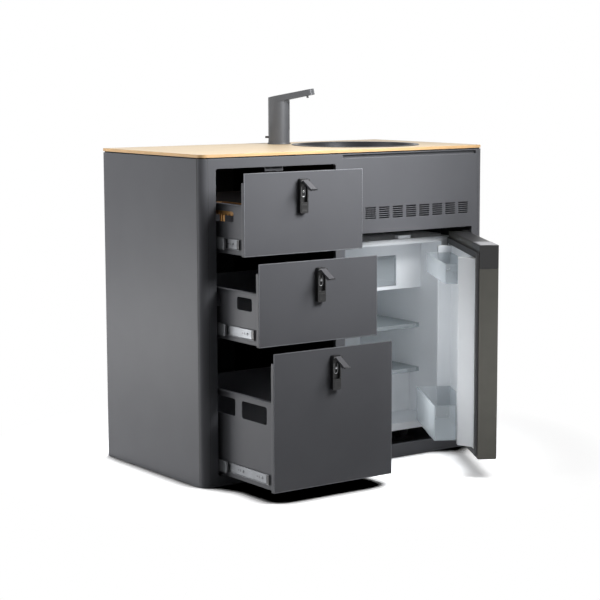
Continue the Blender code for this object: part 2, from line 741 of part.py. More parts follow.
def build_front_frame():
    """One sheet with the drawer bay, the fridge bay, the slot under the worktop and the louvres."""
    edge = LEFT + CORNER_RADIUS + GAP / 2
    sheet_outline = rectangle((edge, HOUSING_BOTTOM), (-edge, HOUSING_TOP))
    drawer_bay = rounded(
        (LEFT + DRAWER_BAY_LEFT, DRAWER_BAY_BOTTOM),
        (LEFT + DRAWER_BAY_RIGHT, DRAWER_BAY_TOP),
        DRAWER_BAY_RADIUS,
        BAY_ARC_STEPS,
    )
    fridge_bay = rounded(
        (LEFT + FRIDGE_BAY_LEFT, FRIDGE_BAY_BOTTOM),
        (LEFT + FRIDGE_BAY_RIGHT, FRIDGE_BAY_TOP),
        FRIDGE_BAY_RADIUS,
        2,
    )
    frame = prism([sheet_outline], SHEET, front_frame_at(FRONT + SHEET / 2))
    file_away(frame, "front_frame", GREY_COAT)
    fold_middle = FRONT + (BAY_RETURN + SHEET / 2) / 2
    bays = ((drawer_bay, DRAWER_BAY_RADIUS, BAY_ARC_STEPS, "drawer"), (fridge_bay, FRIDGE_BAY_RADIUS, 2, "fridge"))
    for bay, radius, steps, name in bays:
        low = (min(p[0] for p in bay) - SHEET, min(p[1] for p in bay) - SHEET)
        high = (max(p[0] for p in bay) + SHEET, max(p[1] for p in bay) + SHEET)
        plug = prism([rounded(low, high, radius + SHEET, steps)], BAY_RETURN - SHEET / 2, front_frame_at(fold_middle))
        join(frame, plug, f"{name}_bay_return")
    lip_top = TOP_SLOT_BOTTOM + TOP_SLOT_HEIGHT + SHEET
    lip_low = (LEFT + TOP_SLOT_LEFT - SHEET, FRONT + SHEET / 2, TOP_SLOT_BOTTOM - SHEET)
    lip_high = (LEFT + TOP_SLOT_RIGHT + SHEET, FRONT + SLOT_LIP_SETBACK + SHEET, lip_top)
    join(frame, block(lip_low, lip_high), "slot_pocket")
    hollow_low = (lip_low[0] + SHEET, FRONT - OVERRUN, TOP_SLOT_BOTTOM)
    hollow_high = (lip_high[0] - SHEET, lip_high[1] - SHEET, TOP_SLOT_BOTTOM + TOP_SLOT_HEIGHT)
    cut(frame, block(hollow_low, hollow_high), "slot_pocket_hollow")
    for bay, radius, steps, name in bays:
        bay_cutter = prism([bay], 2 * (BAY_RETURN + OVERRUN), front_frame_at(FRONT))
        cut(frame, bay_cutter, f"{name}_bay")
    keeper_middle = LEFT + (DRAWER_BAY_LEFT + DRAWER_BAY_RIGHT) / 2
    keeper_left = keeper_middle - KEEPER_WIDTH / 2
    keeper_right = keeper_middle + KEEPER_WIDTH / 2
    keeper_top = DRAWER_BAY_TOP + (SHEET + KEEPER_SHEET) / 2
    keeper_back = FRONT + BAY_RETURN + KEEPER_RETURN
    ledge_low = (keeper_left, FRONT + BAY_RETURN - SHEET / 2, keeper_top - KEEPER_SHEET)
    join(frame, block(ledge_low, (keeper_right, keeper_back, keeper_top)), "keeper_ledge")
    tab_low = (keeper_left, keeper_back - KEEPER_SHEET, keeper_top - KEEPER_DROP)
    join(frame, block(tab_low, (keeper_right, keeper_back, keeper_top)), "keeper_tab")
    louvres = prism(louvre_loops(), 4 * SHEET, front_frame_at(FRONT))
    cut(frame, louvres, "louvre_slots")
    weld(frame)


def build_runner_panel():
    """Upright sheet behind the left stile that carries the left-hand runners."""
    face = LEFT + DRAWER_BAY_LEFT
    outer = face - RUNNER_PANEL_THICKNESS
    front = FRONT + BAY_RETURN + GAP
    back = BACK - BACK_INSET - SHEET - GAP
    fold = face - RUNNER_PANEL_FOLD
    outline = [
        (face, front),
        (face, back),
        (fold, back),
        (fold, back - RUNNER_PANEL_THICKNESS),
        (outer, back - RUNNER_PANEL_THICKNESS),
        (outer, front + RUNNER_PANEL_THICKNESS),
        (fold, front + RUNNER_PANEL_THICKNESS),
        (fold, front),
    ]
    panel = upright(outline, HOUSING_BOTTOM, INNER_WALL_TOP)
    file_away(panel, "runner_panel", DARK_COAT)


def build_divider():
    """Folded hollow wall between the drawers and the fridge, open at the back."""
    left = LEFT + DRAWER_BAY_RIGHT
    right = LEFT + FRIDGE_BAY_LEFT
    front = FRONT + BAY_RETURN + GAP
    back = BACK - BACK_INSET - SHEET - GAP
    outline = [
        (left, back),
        (left, front),
        (right, front),
        (right, back),
        (right - DIVIDER_WALL, back),
        (right - DIVIDER_WALL, front + DIVIDER_WALL),
        (left + DIVIDER_WALL, front + DIVIDER_WALL),
        (left + DIVIDER_WALL, back),
    ]
    wall = upright(outline, HOUSING_BOTTOM, INNER_WALL_TOP)
    file_away(wall, "divider_wall", DARK_COAT)


def build_top_frame():
    """Dark frame under the worktop: its edge is the shadow line, and its hole clears the sink."""
    high = WORKTOP_BOTTOM - GAP
    low = INNER_WALL_TOP + GAP
    inset = TOP_FRAME_INSET
    outer = footprint(inset, inset + BACK_INSET)
    hole_low = (LEFT + TOP_FRAME_LEG, FRONT + TOP_FRAME_FRONT_LEG)
    hole_high = (RIGHT - TOP_FRAME_LEG, BACK - TOP_FRAME_LEG)
    ring = prism([outer, rectangle(hole_low, hole_high)], high - low, plan_frame((low + high) / 2))
    file_away(ring, "top_frame", DARK_COAT)
    slot_depth = SLOT_LIP_SETBACK + SHEET + GAP
    notch_low = (LEFT + TOP_SLOT_LEFT - SHEET - GAP, FRONT - OVERRUN, low - OVERRUN)
    notch_high = (LEFT + TOP_SLOT_RIGHT + SHEET + GAP, FRONT + slot_depth, HOUSING_TOP + GAP)
    cut(ring, block(notch_low, notch_high), "top_frame_slot_notch")
    for side in (-1, 1):
        near = side * RIGHT
        far = side * (RIGHT - CORNER_RADIUS - GAP)
        low_corner = (min(near, far), FRONT - OVERRUN, low - OVERRUN)
        high_corner = (max(near, far), FRONT + CORNER_RADIUS + INNER + GAP, HOUSING_TOP + GAP)
        cut(ring, block(low_corner, high_corner), f"top_frame_post_notch_{'left' if side < 0 else 'right'}")


def build_worktop():
    """Bamboo board flush with the housing, with holes for the sink and the tap."""
    sink = at(SINK_X, SINK_Y, 0)
    tap = at(TAP_X, TAP_Y, 0)
    sink_hole = arc((sink.x, sink.y), SINK_RIM_RADIUS - SINK_RIM_WIDTH, 0, 2 * math.pi, SINK_SIDES)[:-1]
    tap_hole = arc((tap.x, tap.y), TAP_STEM_RADIUS + GAP, 0, 2 * math.pi, 3 * ARC_STEPS)[:-1]
    middle = WORKTOP_BOTTOM + WORKTOP_THICKNESS / 2
    board = prism([footprint(0), sink_hole, tap_hole], WORKTOP_THICKNESS, plan_frame(middle))
    file_away(board, "worktop", BAMBOO)


def turned(profile, centre, sides):
    """A closed profile of (radius, height) points turned about a vertical axis."""
    mesh = bpy.data.meshes.new("profile")
    points = [(radius, 0, height) for radius, height in profile]
    edges = [(i, (i + 1) % len(points)) for i in range(len(points))]
    mesh.from_pydata(points, edges, [])
    made = bpy.data.objects.new("profile", mesh)
    bpy.context.scene.collection.objects.link(made)
    made.location = centre
    screw = made.modifiers.new("Screw", "SCREW")
    screw.steps = sides
    screw.render_steps = sides
    screw.use_merge_vertices = True
    screw.merge_threshold = GAP / 10
    screw.use_smooth_shade = True
    return made


def build_sink():
    """Round bowl with a rolled rim, and its waste with a flange and a clamping nut."""
    centre = at(SINK_X, SINK_Y, POD_HEIGHT)
    rim = GAP
    rim_top = GAP + SINK_RIM_HEIGHT
    wall_radius = SINK_RIM_RADIUS - SINK_RIM_WIDTH - GAP
    floor = -SINK_DEPTH
    outer_blend = arc((SINK_FLOOR_RADIUS, floor + SINK_BLEND), SINK_BLEND, 0, -math.pi / 2, ARC_STEPS)
    inner_blend = arc((SINK_FLOOR_RADIUS, floor + SINK_BLEND), SINK_BLEND - SINK_WALL, -math.pi / 2, 0, ARC_STEPS)
    profile = [
        (SINK_RIM_RADIUS, rim_top - SINK_WALL / 2),
        (SINK_RIM_RADIUS, rim),
        (wall_radius, rim),
        *outer_blend,
        (SINK_HOLE_RADIUS, floor),
        (SINK_HOLE_RADIUS, floor + SINK_WALL),
        *inner_blend,
        (wall_radius - SINK_WALL, rim),
        (wall_radius, rim_top),
        (SINK_RIM_RADIUS - SINK_WALL / 2, rim_top),
    ]
    bowl = turned(profile, centre, SINK_SIDES)
    file_away(bowl, "sink_bowl", BLACK_STEEL)
    flange_low = floor + SINK_WALL + GAP
    tube = WASTE_TUBE_RADIUS
    nut_high = floor - GAP
    nut_low = nut_high - WASTE_NUT_THICKNESS
    waste_profile = [
        (WASTE_FLANGE_RADIUS, flange_low + WASTE_FLANGE_THICKNESS),
        (WASTE_FLANGE_RADIUS, flange_low),
        (tube, flange_low),
        (tube, nut_high),
        (WASTE_NUT_RADIUS, nut_high),
        (WASTE_NUT_RADIUS, nut_low),
        (tube, nut_low),
        (tube, floor - WASTE_LENGTH),
        (tube - WASTE_WALL, floor - WASTE_LENGTH),
        (tube - WASTE_WALL, flange_low + WASTE_FLANGE_THICKNESS),
    ]
    waste = turned(waste_profile, centre, 3 * ARC_STEPS)
    file_away(waste, "sink_waste", ZINC)


def spout_outline():
    """The spout from above: round over the column, then tapering to a blunt tip."""
    half_tip = TAP_SPOUT_TIP_WIDTH / 2
    reach = TAP_SPOUT_REACH
    edge = TAP_SPOUT_TIP_WIDTH / 4
    spread = math.asin((TAP_RADIUS - half_tip) / reach)
    head = arc((0, 0), TAP_RADIUS, math.pi / 2 - spread, 1.5 * math.pi + spread, 4 * ARC_STEPS)
    tip_right = arc((reach - edge, -half_tip + edge), edge, -math.pi / 2, 0, 3)
    tip_left = arc((reach - edge, half_tip - edge), edge, 0, math.pi / 2, 3)
    return [*head, *tip_right, *tip_left]


def build_tap():
    """Swivelling tap body, one casting from its stem to the spout's tip, and the small mixer lever."""
    foot = at(TAP_X, TAP_Y, POD_HEIGHT + GAP)
    top = foot + Vector((0, 0, TAP_COLUMN_HEIGHT))
    body = round_bar(TAP_RADIUS, foot, top + Vector((0, 0, TAP_RADIUS)), 4 * ARC_STEPS)
    file_away(body, "tap_body", ANTHRACITE)
    heading = Matrix.Rotation(TAP_SPOUT_HEADING, 4, "Z")
    seat = Matrix.Translation(top) @ heading @ Matrix.Rotation(-TAP_SPOUT_RISE, 4, "Y")
    above = 2 * TAP_RADIUS
    top_cutter = block((-above, -above, 0), (above, above, above))
    top_cutter.matrix_world = seat @ Matrix.Translation((0, 0, above / 2))
    cut(body, top_cutter, "tap_top_cut")
    groove_out = TAP_RADIUS - TAP_GROOVE_DEPTH
    groove = block(
        (groove_out, -TAP_GROOVE_WIDTH / 2, TAP_GROOVE_BOTTOM),
        (TAP_RADIUS + OVERRUN, TAP_GROOVE_WIDTH / 2, TAP_COLUMN_HEIGHT - TAP_SPOUT_THICKNESS),
    )
    groove.matrix_world = Matrix.Translation(foot) @ heading @ groove.matrix_world
    cut(body, groove, "tap_groove")
    middle = seat @ Matrix.Translation((0, 0, -TAP_SPOUT_THICKNESS / 2))
    spout = prism([spout_outline()], TAP_SPOUT_THICKNESS, Matrix.Identity(4))
    spout.matrix_world = middle
    join(body, spout, "tap_spout")
    nozzle_x = TAP_SPOUT_REACH - TAP_NOZZLE_INSET
    nozzle_low = middle @ Vector((nozzle_x, 0, -TAP_SPOUT_THICKNESS / 2 - TAP_NOZZLE_LENGTH))
    nozzle = round_bar(TAP_NOZZLE_RADIUS, nozzle_low, middle @ Vector((nozzle_x, 0, 0)), 2 * ARC_STEPS)
    join(body, nozzle, "tap_nozzle")
    stem_low = foot - Vector((0, 0, TAP_STEM_LENGTH))
    stem_high = foot + Vector((0, 0, TAP_STEM_RADIUS / 2))
    join(body, round_bar(TAP_STEM_RADIUS, stem_low, stem_high, 3 * ARC_STEPS), "tap_stem")
    lever = build_tap_lever(body, foot + Vector((0, 0, TAP_LEVER_HEIGHT)))
    swivel = joint_empty("tap_swivel_axis", foot)
    hang_on([body, lever.parent], swivel)


def build_tap_lever(body, height):
    """Small flat lever that tips up and down in a slot in the tap's body."""
    turn = Matrix.Rotation(TAP_LEVER_HEADING, 4, "Z")
    reach_in = TAP_RADIUS - TAP_LEVER_SINK
    pivot = height + turn @ Vector((reach_in, 0, 0))
    slot_half = TAP_LEVER_WIDTH / 2 + GAP
    slot = block(
        (reach_in - TAP_LEVER_KNUCKLE - GAP, -slot_half, -TAP_SLOT_HALF_HEIGHT),
        (TAP_RADIUS + OVERRUN, slot_half, TAP_SLOT_HALF_HEIGHT),
    )
    slot.matrix_world = Matrix.Translation(height) @ turn @ slot.matrix_world
    cut(body, slot, "tap_lever_slot")
    half = TAP_LEVER_HALF_HEIGHT
    outline = [
        *arc((0, 0), TAP_LEVER_KNUCKLE, math.pi / 4, 1.75 * math.pi, 2 * ARC_STEPS),
        (TAP_LEVER_KNUCKLE, -half),
        (TAP_LEVER_REACH, -half),
        (TAP_LEVER_REACH, half),
        (TAP_LEVER_KNUCKLE, half),
    ]
    lever = prism([outline], TAP_LEVER_WIDTH, front_frame_at(0))
    file_away(lever, "tap_lever", ANTHRACITE)
    lever.matrix_world = Matrix.Translation(pivot) @ turn
    axis = joint_empty("tap_lever_axis", pivot)
    hang_on([lever], axis)
    return lever


def build_drawer_front(drawer, left, right, latch_middle):
    """A shallow folded pan: its side folds start below the top, and a slot lets the latch through."""
    front = FRONT
    back = FRONT + PAN_DEPTH
    pan = block((left, front, drawer["low"]), (right, back, drawer["high"]))
    file_away(pan, f"{drawer['name']}_front", GREY_COAT)
    wall = FRONT_FACE
    hollow = block(
        (left + wall, front + wall, drawer["low"] + wall),
        (right - wall, back + OVERRUN, drawer["high"] - wall),
    )
    cut(pan, hollow, f"{drawer['name']}_front_hollow")
    notch_low = drawer["high"] - PAN_NOTCH
    notch = block(
        (left - OVERRUN, front + wall, notch_low),
        (right + OVERRUN, back + OVERRUN, drawer["high"] + OVERRUN),
    )
    cut(pan, notch, f"{drawer['name']}_front_notch")
    inset = LATCH_BOSS_INSET - GAP
    latch_high = drawer["high"] - LATCH_DROP
    window = block(
        (latch_middle - LATCH_WIDTH / 2 + inset, front - OVERRUN, latch_high - LATCH_HEIGHT + inset),
        (latch_middle + LATCH_WIDTH / 2 - inset, front + wall + OVERRUN, latch_high - inset),
    )
    cut(pan, window, f"{drawer['name']}_latch_window")
    return pan


def build_drawer_box(drawer, left, right):
    """Open sheet-metal box with an out-turned lip and rows of rounded hand holes in its sides."""
    front = FRONT + PAN_DEPTH + GAP
    back = front + BOX_DEPTH
    low = drawer["low"] + BOX_FLOOR_RAISE
    high = drawer["box_high"]
    box = block((left, front, low), (right, back, high))
    file_away(box, f"{drawer['name']}_box", GREY_COAT)
    lip_low = high - BOX_LIP_THICKNESS
    lip = block((left - BOX_LIP, front, lip_low), (right + BOX_LIP, back, high))
    join(box, lip, f"{drawer['name']}_box_lip")
    hollow = block(
        (left + BOX_WALL, front + BOX_WALL, low + BOX_WALL),
        (right - BOX_WALL, back - BOX_WALL, high + OVERRUN),
    )
    cut(box, hollow, f"{drawer['name']}_box_hollow")
    holes = SIDE_HOLES[drawer["name"]]
    hole_high = high - holes["drop"]
    span = right - left + 2 * OVERRUN
    for i in range(holes["count"]):
        start = front + holes["start"] + i * SIDE_HOLE_PITCH
        loop = rounded(
            (start, hole_high - holes["height"]), (start + holes["length"], hole_high), SIDE_HOLE_RADIUS, 3
        )
        hole = prism([loop], span, side_frame_at((left + right) / 2))
        cut(box, hole, f"{drawer['name']}_side_hole_{i + 1}")
    return box


def channel(depth_start, depth_end, half_height, open_to_drawer):
    """Section of a runner member, as (depth from the cabinet wall, height) points."""
    sheet = RUNNER_SHEET
    web_start = depth_start if open_to_drawer else depth_end
    inward = sheet if open_to_drawer else -sheet
    tip = depth_end if open_to_drawer else depth_start
    return [
        (web_start, -half_height),
        (tip, -half_height),
        (tip, -half_height + sheet),
        (web_start + inward, -half_height + sheet),
        (web_start + inward, half_height - sheet),
        (tip, half_height - sheet),
        (tip, half_height),
        (web_start, half_height),
    ]


def runner_member(section, wall, side, middle, shortened, name):
    """A runner member on the left wall, or mirrored onto the right one, shortened at its front end."""
    outline = [(wall + side * depth, middle + height) for depth, height in section]
    if side < 0:
        outline.reverse()
    length = RUNNER_LENGTH - shortened
    start = FRONT + RUNNER_SETBACK + shortened
    member = prism([outline], length, front_frame_at(start + length / 2))
    return file_away(member, name, ZINC)


def build_runners(drawer):
    """Fixed, middle and moving members of the two telescopic runners of a drawer."""
    middle = drawer["low"] + BOX_FLOOR_RAISE + RUNNER_RISE
    half = RUNNER_HALF_HEIGHT
    step = RUNNER_SHEET + RUNNER_PLAY
    fixed_section = channel(GAP, GAP + FIXED_DEPTH, half, True)
    middle_section = channel(GAP + MIDDLE_SETBACK, GAP + MIDDLE_SETBACK + MIDDLE_DEPTH, half - step, True)
    moving_end = GAP + RUNNER_DEPTH
    moving_section = channel(moving_end - MOVING_DEPTH, moving_end, half - 2 * step, False)
    middles = []
    movers = []
    for side, label, wall in (
        (1, "left", LEFT + DRAWER_BAY_LEFT),
        (-1, "right", LEFT + DRAWER_BAY_RIGHT),
    ):
        name = drawer["name"]
        shortened = MIDDLE_STARTS[name]
        runner_member(fixed_section, wall, side, middle, 0, f"{name}_runner_fixed_{label}")
        middles.append(runner_member(middle_section, wall, side, middle, shortened, f"{name}_runner_middle_{label}"))
        mover = runner_member(moving_section, wall, side, middle, 0, f"{name}_runner_moving_{label}")
        movers.append(mover)
        stop_half = half - 2 * step - RUNNER_SHEET / 2
        web = wall + side * (moving_end - RUNNER_SHEET / 2)
        lip = wall + side * (moving_end - MOVING_DEPTH + RUNNER_STOP_SINK)
        start = FRONT + RUNNER_SETBACK + RUNNER_STOP_SINK
        stop = block(
            (min(web, lip), start, middle - stop_half),
            (max(web, lip), start + RUNNER_STOP_LENGTH, middle + stop_half),
        )
        join(mover, stop, f"{name}_runner_stop_{label}")
    return middles, movers


def build_latch(drawer, latch_middle):
    """Latch housing with its recess and pivot ears, and the lever that lifts out of it."""
    name = drawer["name"]
    high = drawer["high"] - LATCH_DROP
    low = high - LATCH_HEIGHT
    back = FRONT - GAP
    face = back - LATCH_PROUD
    half = LATCH_WIDTH / 2
    outline = rounded((latch_middle - half, low), (latch_middle + half, high), LATCH_RADIUS, 2)
    housing = prism([outline], LATCH_PROUD, front_frame_at((back + face) / 2))
    file_away(housing, f"{name}_latch_housing", BLACK_PLASTIC)
    inset = LATCH_BOSS_INSET
    boss = block(
        (latch_middle - half + inset, back - LATCH_PROUD / 2, low + inset),
        (latch_middle + half - inset, back + LATCH_BOSS_LENGTH, high - inset),
    )
    join(housing, boss, f"{name}_latch_boss")
    recess_high = high - LATCH_RECESS_TOP
    recess = block(
        (latch_middle - half + LATCH_WALL, face - OVERRUN, recess_high - LATCH_RECESS_HEIGHT),
        (latch_middle + half - LATCH_WALL, face + LATCH_RECESS_DEPTH, recess_high),
    )
    cut(housing, recess, f"{name}_latch_recess")
    pivot = Vector((latch_middle, back - LATCH_PIVOT_PROUD, high - LATCH_PIVOT_DROP))
    knuckle = LATCH_KNUCKLE_RADIUS
    ear_loop = [
        (pivot.y + 2 * knuckle, pivot.z - knuckle),
        (pivot.y + 2 * knuckle, pivot.z + knuckle),
        *arc((pivot.y, pivot.z), knuckle, math.pi / 2, 1.5 * math.pi, 4),
    ]
    for side in (-1, 1):
        ear = prism([ear_loop], LATCH_EAR, side_frame_at(latch_middle + side * (half - LATCH_EAR / 2)))
        join(housing, ear, f"{name}_latch_ear_{'left' if side < 0 else 'right'}")
    pin_reach = half - LATCH_EAR / 2
    pin = round_bar(
        LATCH_PIN_RADIUS, pivot - Vector((pin_reach, 0, 0)), pivot + Vector((pin_reach, 0, 0)), 8
    )
    join(housing, pin, f"{name}_latch_pin")
    return housing, pivot


def build_latch_lever(drawer, pivot):
    """Flat lever with a flicked tip and a rib behind it, bored for the pin, drawn hanging straight down."""
    name = drawer["name"]
    knuckle = LATCH_KNUCKLE_RADIUS
    half = LATCH_LEVER_THICKNESS / 2
    length = LATCH_LEVER_LENGTH
    flick = LATCH_LEVER_FLICK
    rib_end = -length + 2 * flick
    rib_back = half + LATCH_LEVER_RIB_DEPTH
    front_side = [(-half, -length + flick), (-half - flick, -length)]
    rib = [(rib_back, rib_end), (rib_back, rib_end + LATCH_LEVER_RIB), (half, rib_end + LATCH_LEVER_RIB + flick)]
    back_side = [(half - flick, -length), (half, -length + flick), (half, rib_end), *rib]
    around = arc((0, 0), knuckle, math.asin(-half / knuckle), math.pi + math.asin(half / knuckle), 8)
    outline = [*around, *front_side, *back_side]
    width = LATCH_WIDTH - 2 * LATCH_EAR - 2 * GAP
    hole = arc((0, 0), LATCH_PIN_RADIUS + GAP, 0, 2 * math.pi, 8)[:-1]
    lever = prism([outline, hole], width, side_frame_at(0))
    lever.location = pivot
    file_away(lever, f"{name}_latch_lever", BLACK_PLASTIC)
    return lever


def build_insert(left):
    """Bamboo rack in the top drawer: a floor, four legs, and rails with notches along their lower edge."""
    floor = DRAWERS[0]["low"] + BOX_FLOOR_RAISE + BOX_WALL + GAP
    front = FRONT + PAN_DEPTH + GAP + BOX_WALL + GAP
    inner_left = left + BOX_WALL + GAP
    low = Vector((inner_left, front, floor))
    high = Vector((inner_left + INSERT_WIDTH, front + INSERT_LENGTH, INSERT_TOP))
    crate = block(low, high)
    file_away(crate, "drawer_1_insert", BAMBOO)
    wall = Vector((INSERT_WALL, INSERT_WALL, 0))
    inside = block(low + wall + Vector((0, 0, INSERT_FLOOR)), high - wall + Vector((0, 0, OVERRUN)))
    cut(crate, inside, "insert_inside")
    start = front + INSERT_END
    end = front + INSERT_LENGTH - INSERT_END
    tip = INSERT_TOOTH_TIP
    notch = INSERT_TOOTH_PITCH * INSERT_NOTCH_SHARE
    outline = [(start, floor + INSERT_FLOOR), (end, floor + INSERT_FLOOR), (end, tip)]
    count = int((end - start) / INSERT_TOOTH_PITCH)
    for i in reversed(range(count)):
        near = start + i * INSERT_TOOTH_PITCH + INSERT_TOOTH_PITCH / 2
        outline += [(near + notch / 2, tip), (near, tip + INSERT_TOOTH_DEPTH), (near - notch / 2, tip)]
    outline.append((start, tip))
    window = prism([outline], INSERT_WIDTH + 2 * OVERRUN, side_frame_at(inner_left + INSERT_WIDTH / 2))
    cut(crate, window, "insert_window")
    end_low = (inner_left + INSERT_END, front - OVERRUN, floor + INSERT_FLOOR)
    end_high = (inner_left + INSERT_WIDTH - INSERT_END, front + INSERT_LENGTH + OVERRUN, tip)
    cut(crate, block(end_low, end_high), "insert_end_window")
    return crate


def build_drawers():
    bay_left = LEFT + DRAWER_BAY_LEFT
    bay_right = LEFT + DRAWER_BAY_RIGHT
    stack = GAP + RUNNER_DEPTH + GAP
    for drawer in DRAWERS:
        name = drawer["name"]
        latch_middle = (bay_left + bay_right) / 2 - LATCH_SHIFTS[name]
        pan = build_drawer_front(drawer, bay_left + DRAWER_SIDE_GAP, bay_right - DRAWER_SIDE_GAP, latch_middle)
        box = build_drawer_box(drawer, bay_left + stack, bay_right - stack)
        middles, movers = build_runners(drawer)
        housing, pivot = build_latch(drawer, latch_middle)
        lever = build_latch_lever(drawer, pivot)
        extras = [build_insert(bay_left + stack)] if drawer is DRAWERS[0] else []
        slide_start = Vector((latch_middle, FRONT, drawer["low"]))
        slide = joint_empty(f"{name}_slide_axis", slide_start)
        middle_slide = joint_empty(f"{name}_middle_slide_axis", slide_start)
        lever_axis = joint_empty(f"{name}_lever_axis", pivot)
        hang_on([lever], lever_axis)
        hang_on([pan, box, housing, lever_axis, *movers, *extras], slide)
        hang_on(middles, middle_slide)
        slide.location.y -= drawer["pull"]
        middle_slide.location.y -= drawer["pull"] / 2
        lever_axis.rotation_euler.x = -LATCH_OPEN_ANGLE


def cavity_flare():
    """Wedge that flares the cavity's mouth, so that the door's slanted liner wall goes in."""
    slope = LINER_FREE_SPREAD / LINER_DEPTH
    foot = HINGE_X - LINER_FREE_SIDE - LINER_FREE_SPREAD - LINER_ROOM
    mouth = FRIDGE_FRONT - OVERRUN
    inside = CAVITY_LEFT + OVERRUN
    points = (
        (foot - slope * OVERRUN, mouth),
        (inside, mouth),
        (inside, FRIDGE_FRONT + (inside - foot) / slope),
    )
    low = LINER_BOTTOM - LINER_ROOM
    high = LINER_TOP + LINER_ROOM
    return prism([[at(x, y, 0).xy for x, y in points]], high - low, plan_frame((low + high) / 2))


def build_fridge_cabinet():
    """Insulated body with its cavity, the step over the compressor, its feet and the door catch."""
    low = at(FRIDGE_LEFT, FRIDGE_FRONT, FRIDGE_BOTTOM)
    high = at(FRIDGE_RIGHT, FRIDGE_BACK, FRIDGE_TOP)
    body = block(low, high)
    file_away(body, "fridge_cabinet", WHITE_PLASTIC)
    wedge = [
        (FRONT + FRIDGE_FRONT - OVERRUN, FRIDGE_TOP - FLANGE_BEVEL * (1 + OVERRUN / FLANGE_BEVEL_SETBACK)),
        (FRONT + FRIDGE_FRONT + 2 * FLANGE_BEVEL_SETBACK, FRIDGE_TOP + FLANGE_BEVEL),
        (FRONT + FRIDGE_FRONT - OVERRUN, FRIDGE_TOP + FLANGE_BEVEL),
    ]
    width = FRIDGE_RIGHT - FRIDGE_LEFT + 2 * OVERRUN
    middle = LEFT + (FRIDGE_LEFT + FRIDGE_RIGHT) / 2
    cut(body, prism([wedge], width, side_frame_at(middle)), "flange_bevel")
    mouth = FRONT + FRIDGE_FRONT - OVERRUN
    step = FRONT + HUMP_FRONT
    rear = FRONT + CAVITY_BACK
    profile = [
        (mouth, CAVITY_BOTTOM),
        (step, CAVITY_BOTTOM),
        (step, HUMP_TOP),
        (rear, HUMP_TOP),
        (rear, CAVITY_TOP),
        (mouth, CAVITY_TOP),
    ]
    cavity_middle = LEFT + (CAVITY_LEFT + CAVITY_RIGHT) / 2
    cut(body, prism([profile], CAVITY_RIGHT - CAVITY_LEFT, side_frame_at(cavity_middle)), "cavity")
    cut(body, cavity_flare(), "cavity_flare")
    bay_low = at(FRIDGE_LEFT + COMPRESSOR_BAY_MARGIN, FRIDGE_BACK - COMPRESSOR_BAY_DEPTH, FRIDGE_BOTTOM - OVERRUN)
    bay_high = at(FRIDGE_RIGHT - COMPRESSOR_BAY_MARGIN, FRIDGE_BACK + OVERRUN, COMPRESSOR_BAY_TOP)
    cut(body, block(bay_low, bay_high), "compressor_bay")
    for side, x in (("left", FRIDGE_LEFT + FOOT_SIDE_INSET), ("right", FRIDGE_RIGHT - FOOT_SIDE_INSET)):
        y = FRIDGE_FRONT + FOOT_FRONT_INSET
        stem_low = at(x, y, HOUSING_BOTTOM + FOOT_DISC / 2)
        stem = round_bar(FOOT_STEM_RADIUS, stem_low, at(x, y, FRIDGE_BOTTOM + OVERRUN), 2 * ARC_STEPS)
        join(body, stem, f"front_foot_stem_{side}")
        disc_high = at(x, y, HOUSING_BOTTOM + FOOT_DISC)
        disc = round_bar(FOOT_RADIUS, at(x, y, HOUSING_BOTTOM), disc_high, 4 * ARC_STEPS)
        join(body, disc, f"front_foot_disc_{side}")
    leg_width = COMPRESSOR_BAY_MARGIN - 2 * OVERRUN
    for side, x in (("left", FRIDGE_LEFT), ("right", FRIDGE_RIGHT - COMPRESSOR_BAY_MARGIN)):
        leg_low = at(x + OVERRUN, FRIDGE_BACK - LEG_DEPTH, HOUSING_BOTTOM)
        leg_high = at(x + OVERRUN + leg_width, FRIDGE_BACK - OVERRUN, FRIDGE_BOTTOM + OVERRUN)
        join(body, block(leg_low, leg_high), f"rear_foot_{side}")
    catch_x = FRIDGE_LEFT + CATCH_FROM_LEFT
    catch_front = FRIDGE_FRONT + CATCH_SETBACK
    catch_low = at(catch_x - CATCH_WIDTH / 2, catch_front, FRIDGE_TOP - OVERRUN)
    catch_high = at(catch_x + CATCH_WIDTH / 2, catch_front + CATCH_DEPTH, FRIDGE_TOP + CATCH_HEIGHT)
    join(body, block(catch_low, catch_high), "door_catch")


def build_compressor():
    """Small lying compressor in the bay behind the fridge, on its own cradle."""
    y = FRIDGE_BACK - COMPRESSOR_BAY_DEPTH / 2
    middle_x = (FRIDGE_LEFT + FRIDGE_RIGHT) / 2
    z = HOUSING_BOTTOM + COMPRESSOR_RADIUS + COMPRESSOR_RADIUS / 4
    start = at(middle_x - COMPRESSOR_LENGTH / 2, y, z)
    end = at(middle_x + COMPRESSOR_LENGTH / 2, y, z)
    can = round_bar(COMPRESSOR_RADIUS, start, end, 3 * ARC_STEPS)
    file_away(can, "compressor", DARK_COAT)
    half = COMPRESSOR_SEAT_WIDTH / 2
    cradle = block(
        at(middle_x - half, y - half, HOUSING_BOTTOM),
        at(middle_x + half, y + half, HOUSING_BOTTOM + COMPRESSOR_RADIUS / 2),
    )
    join(can, cradle, "compressor_cradle")


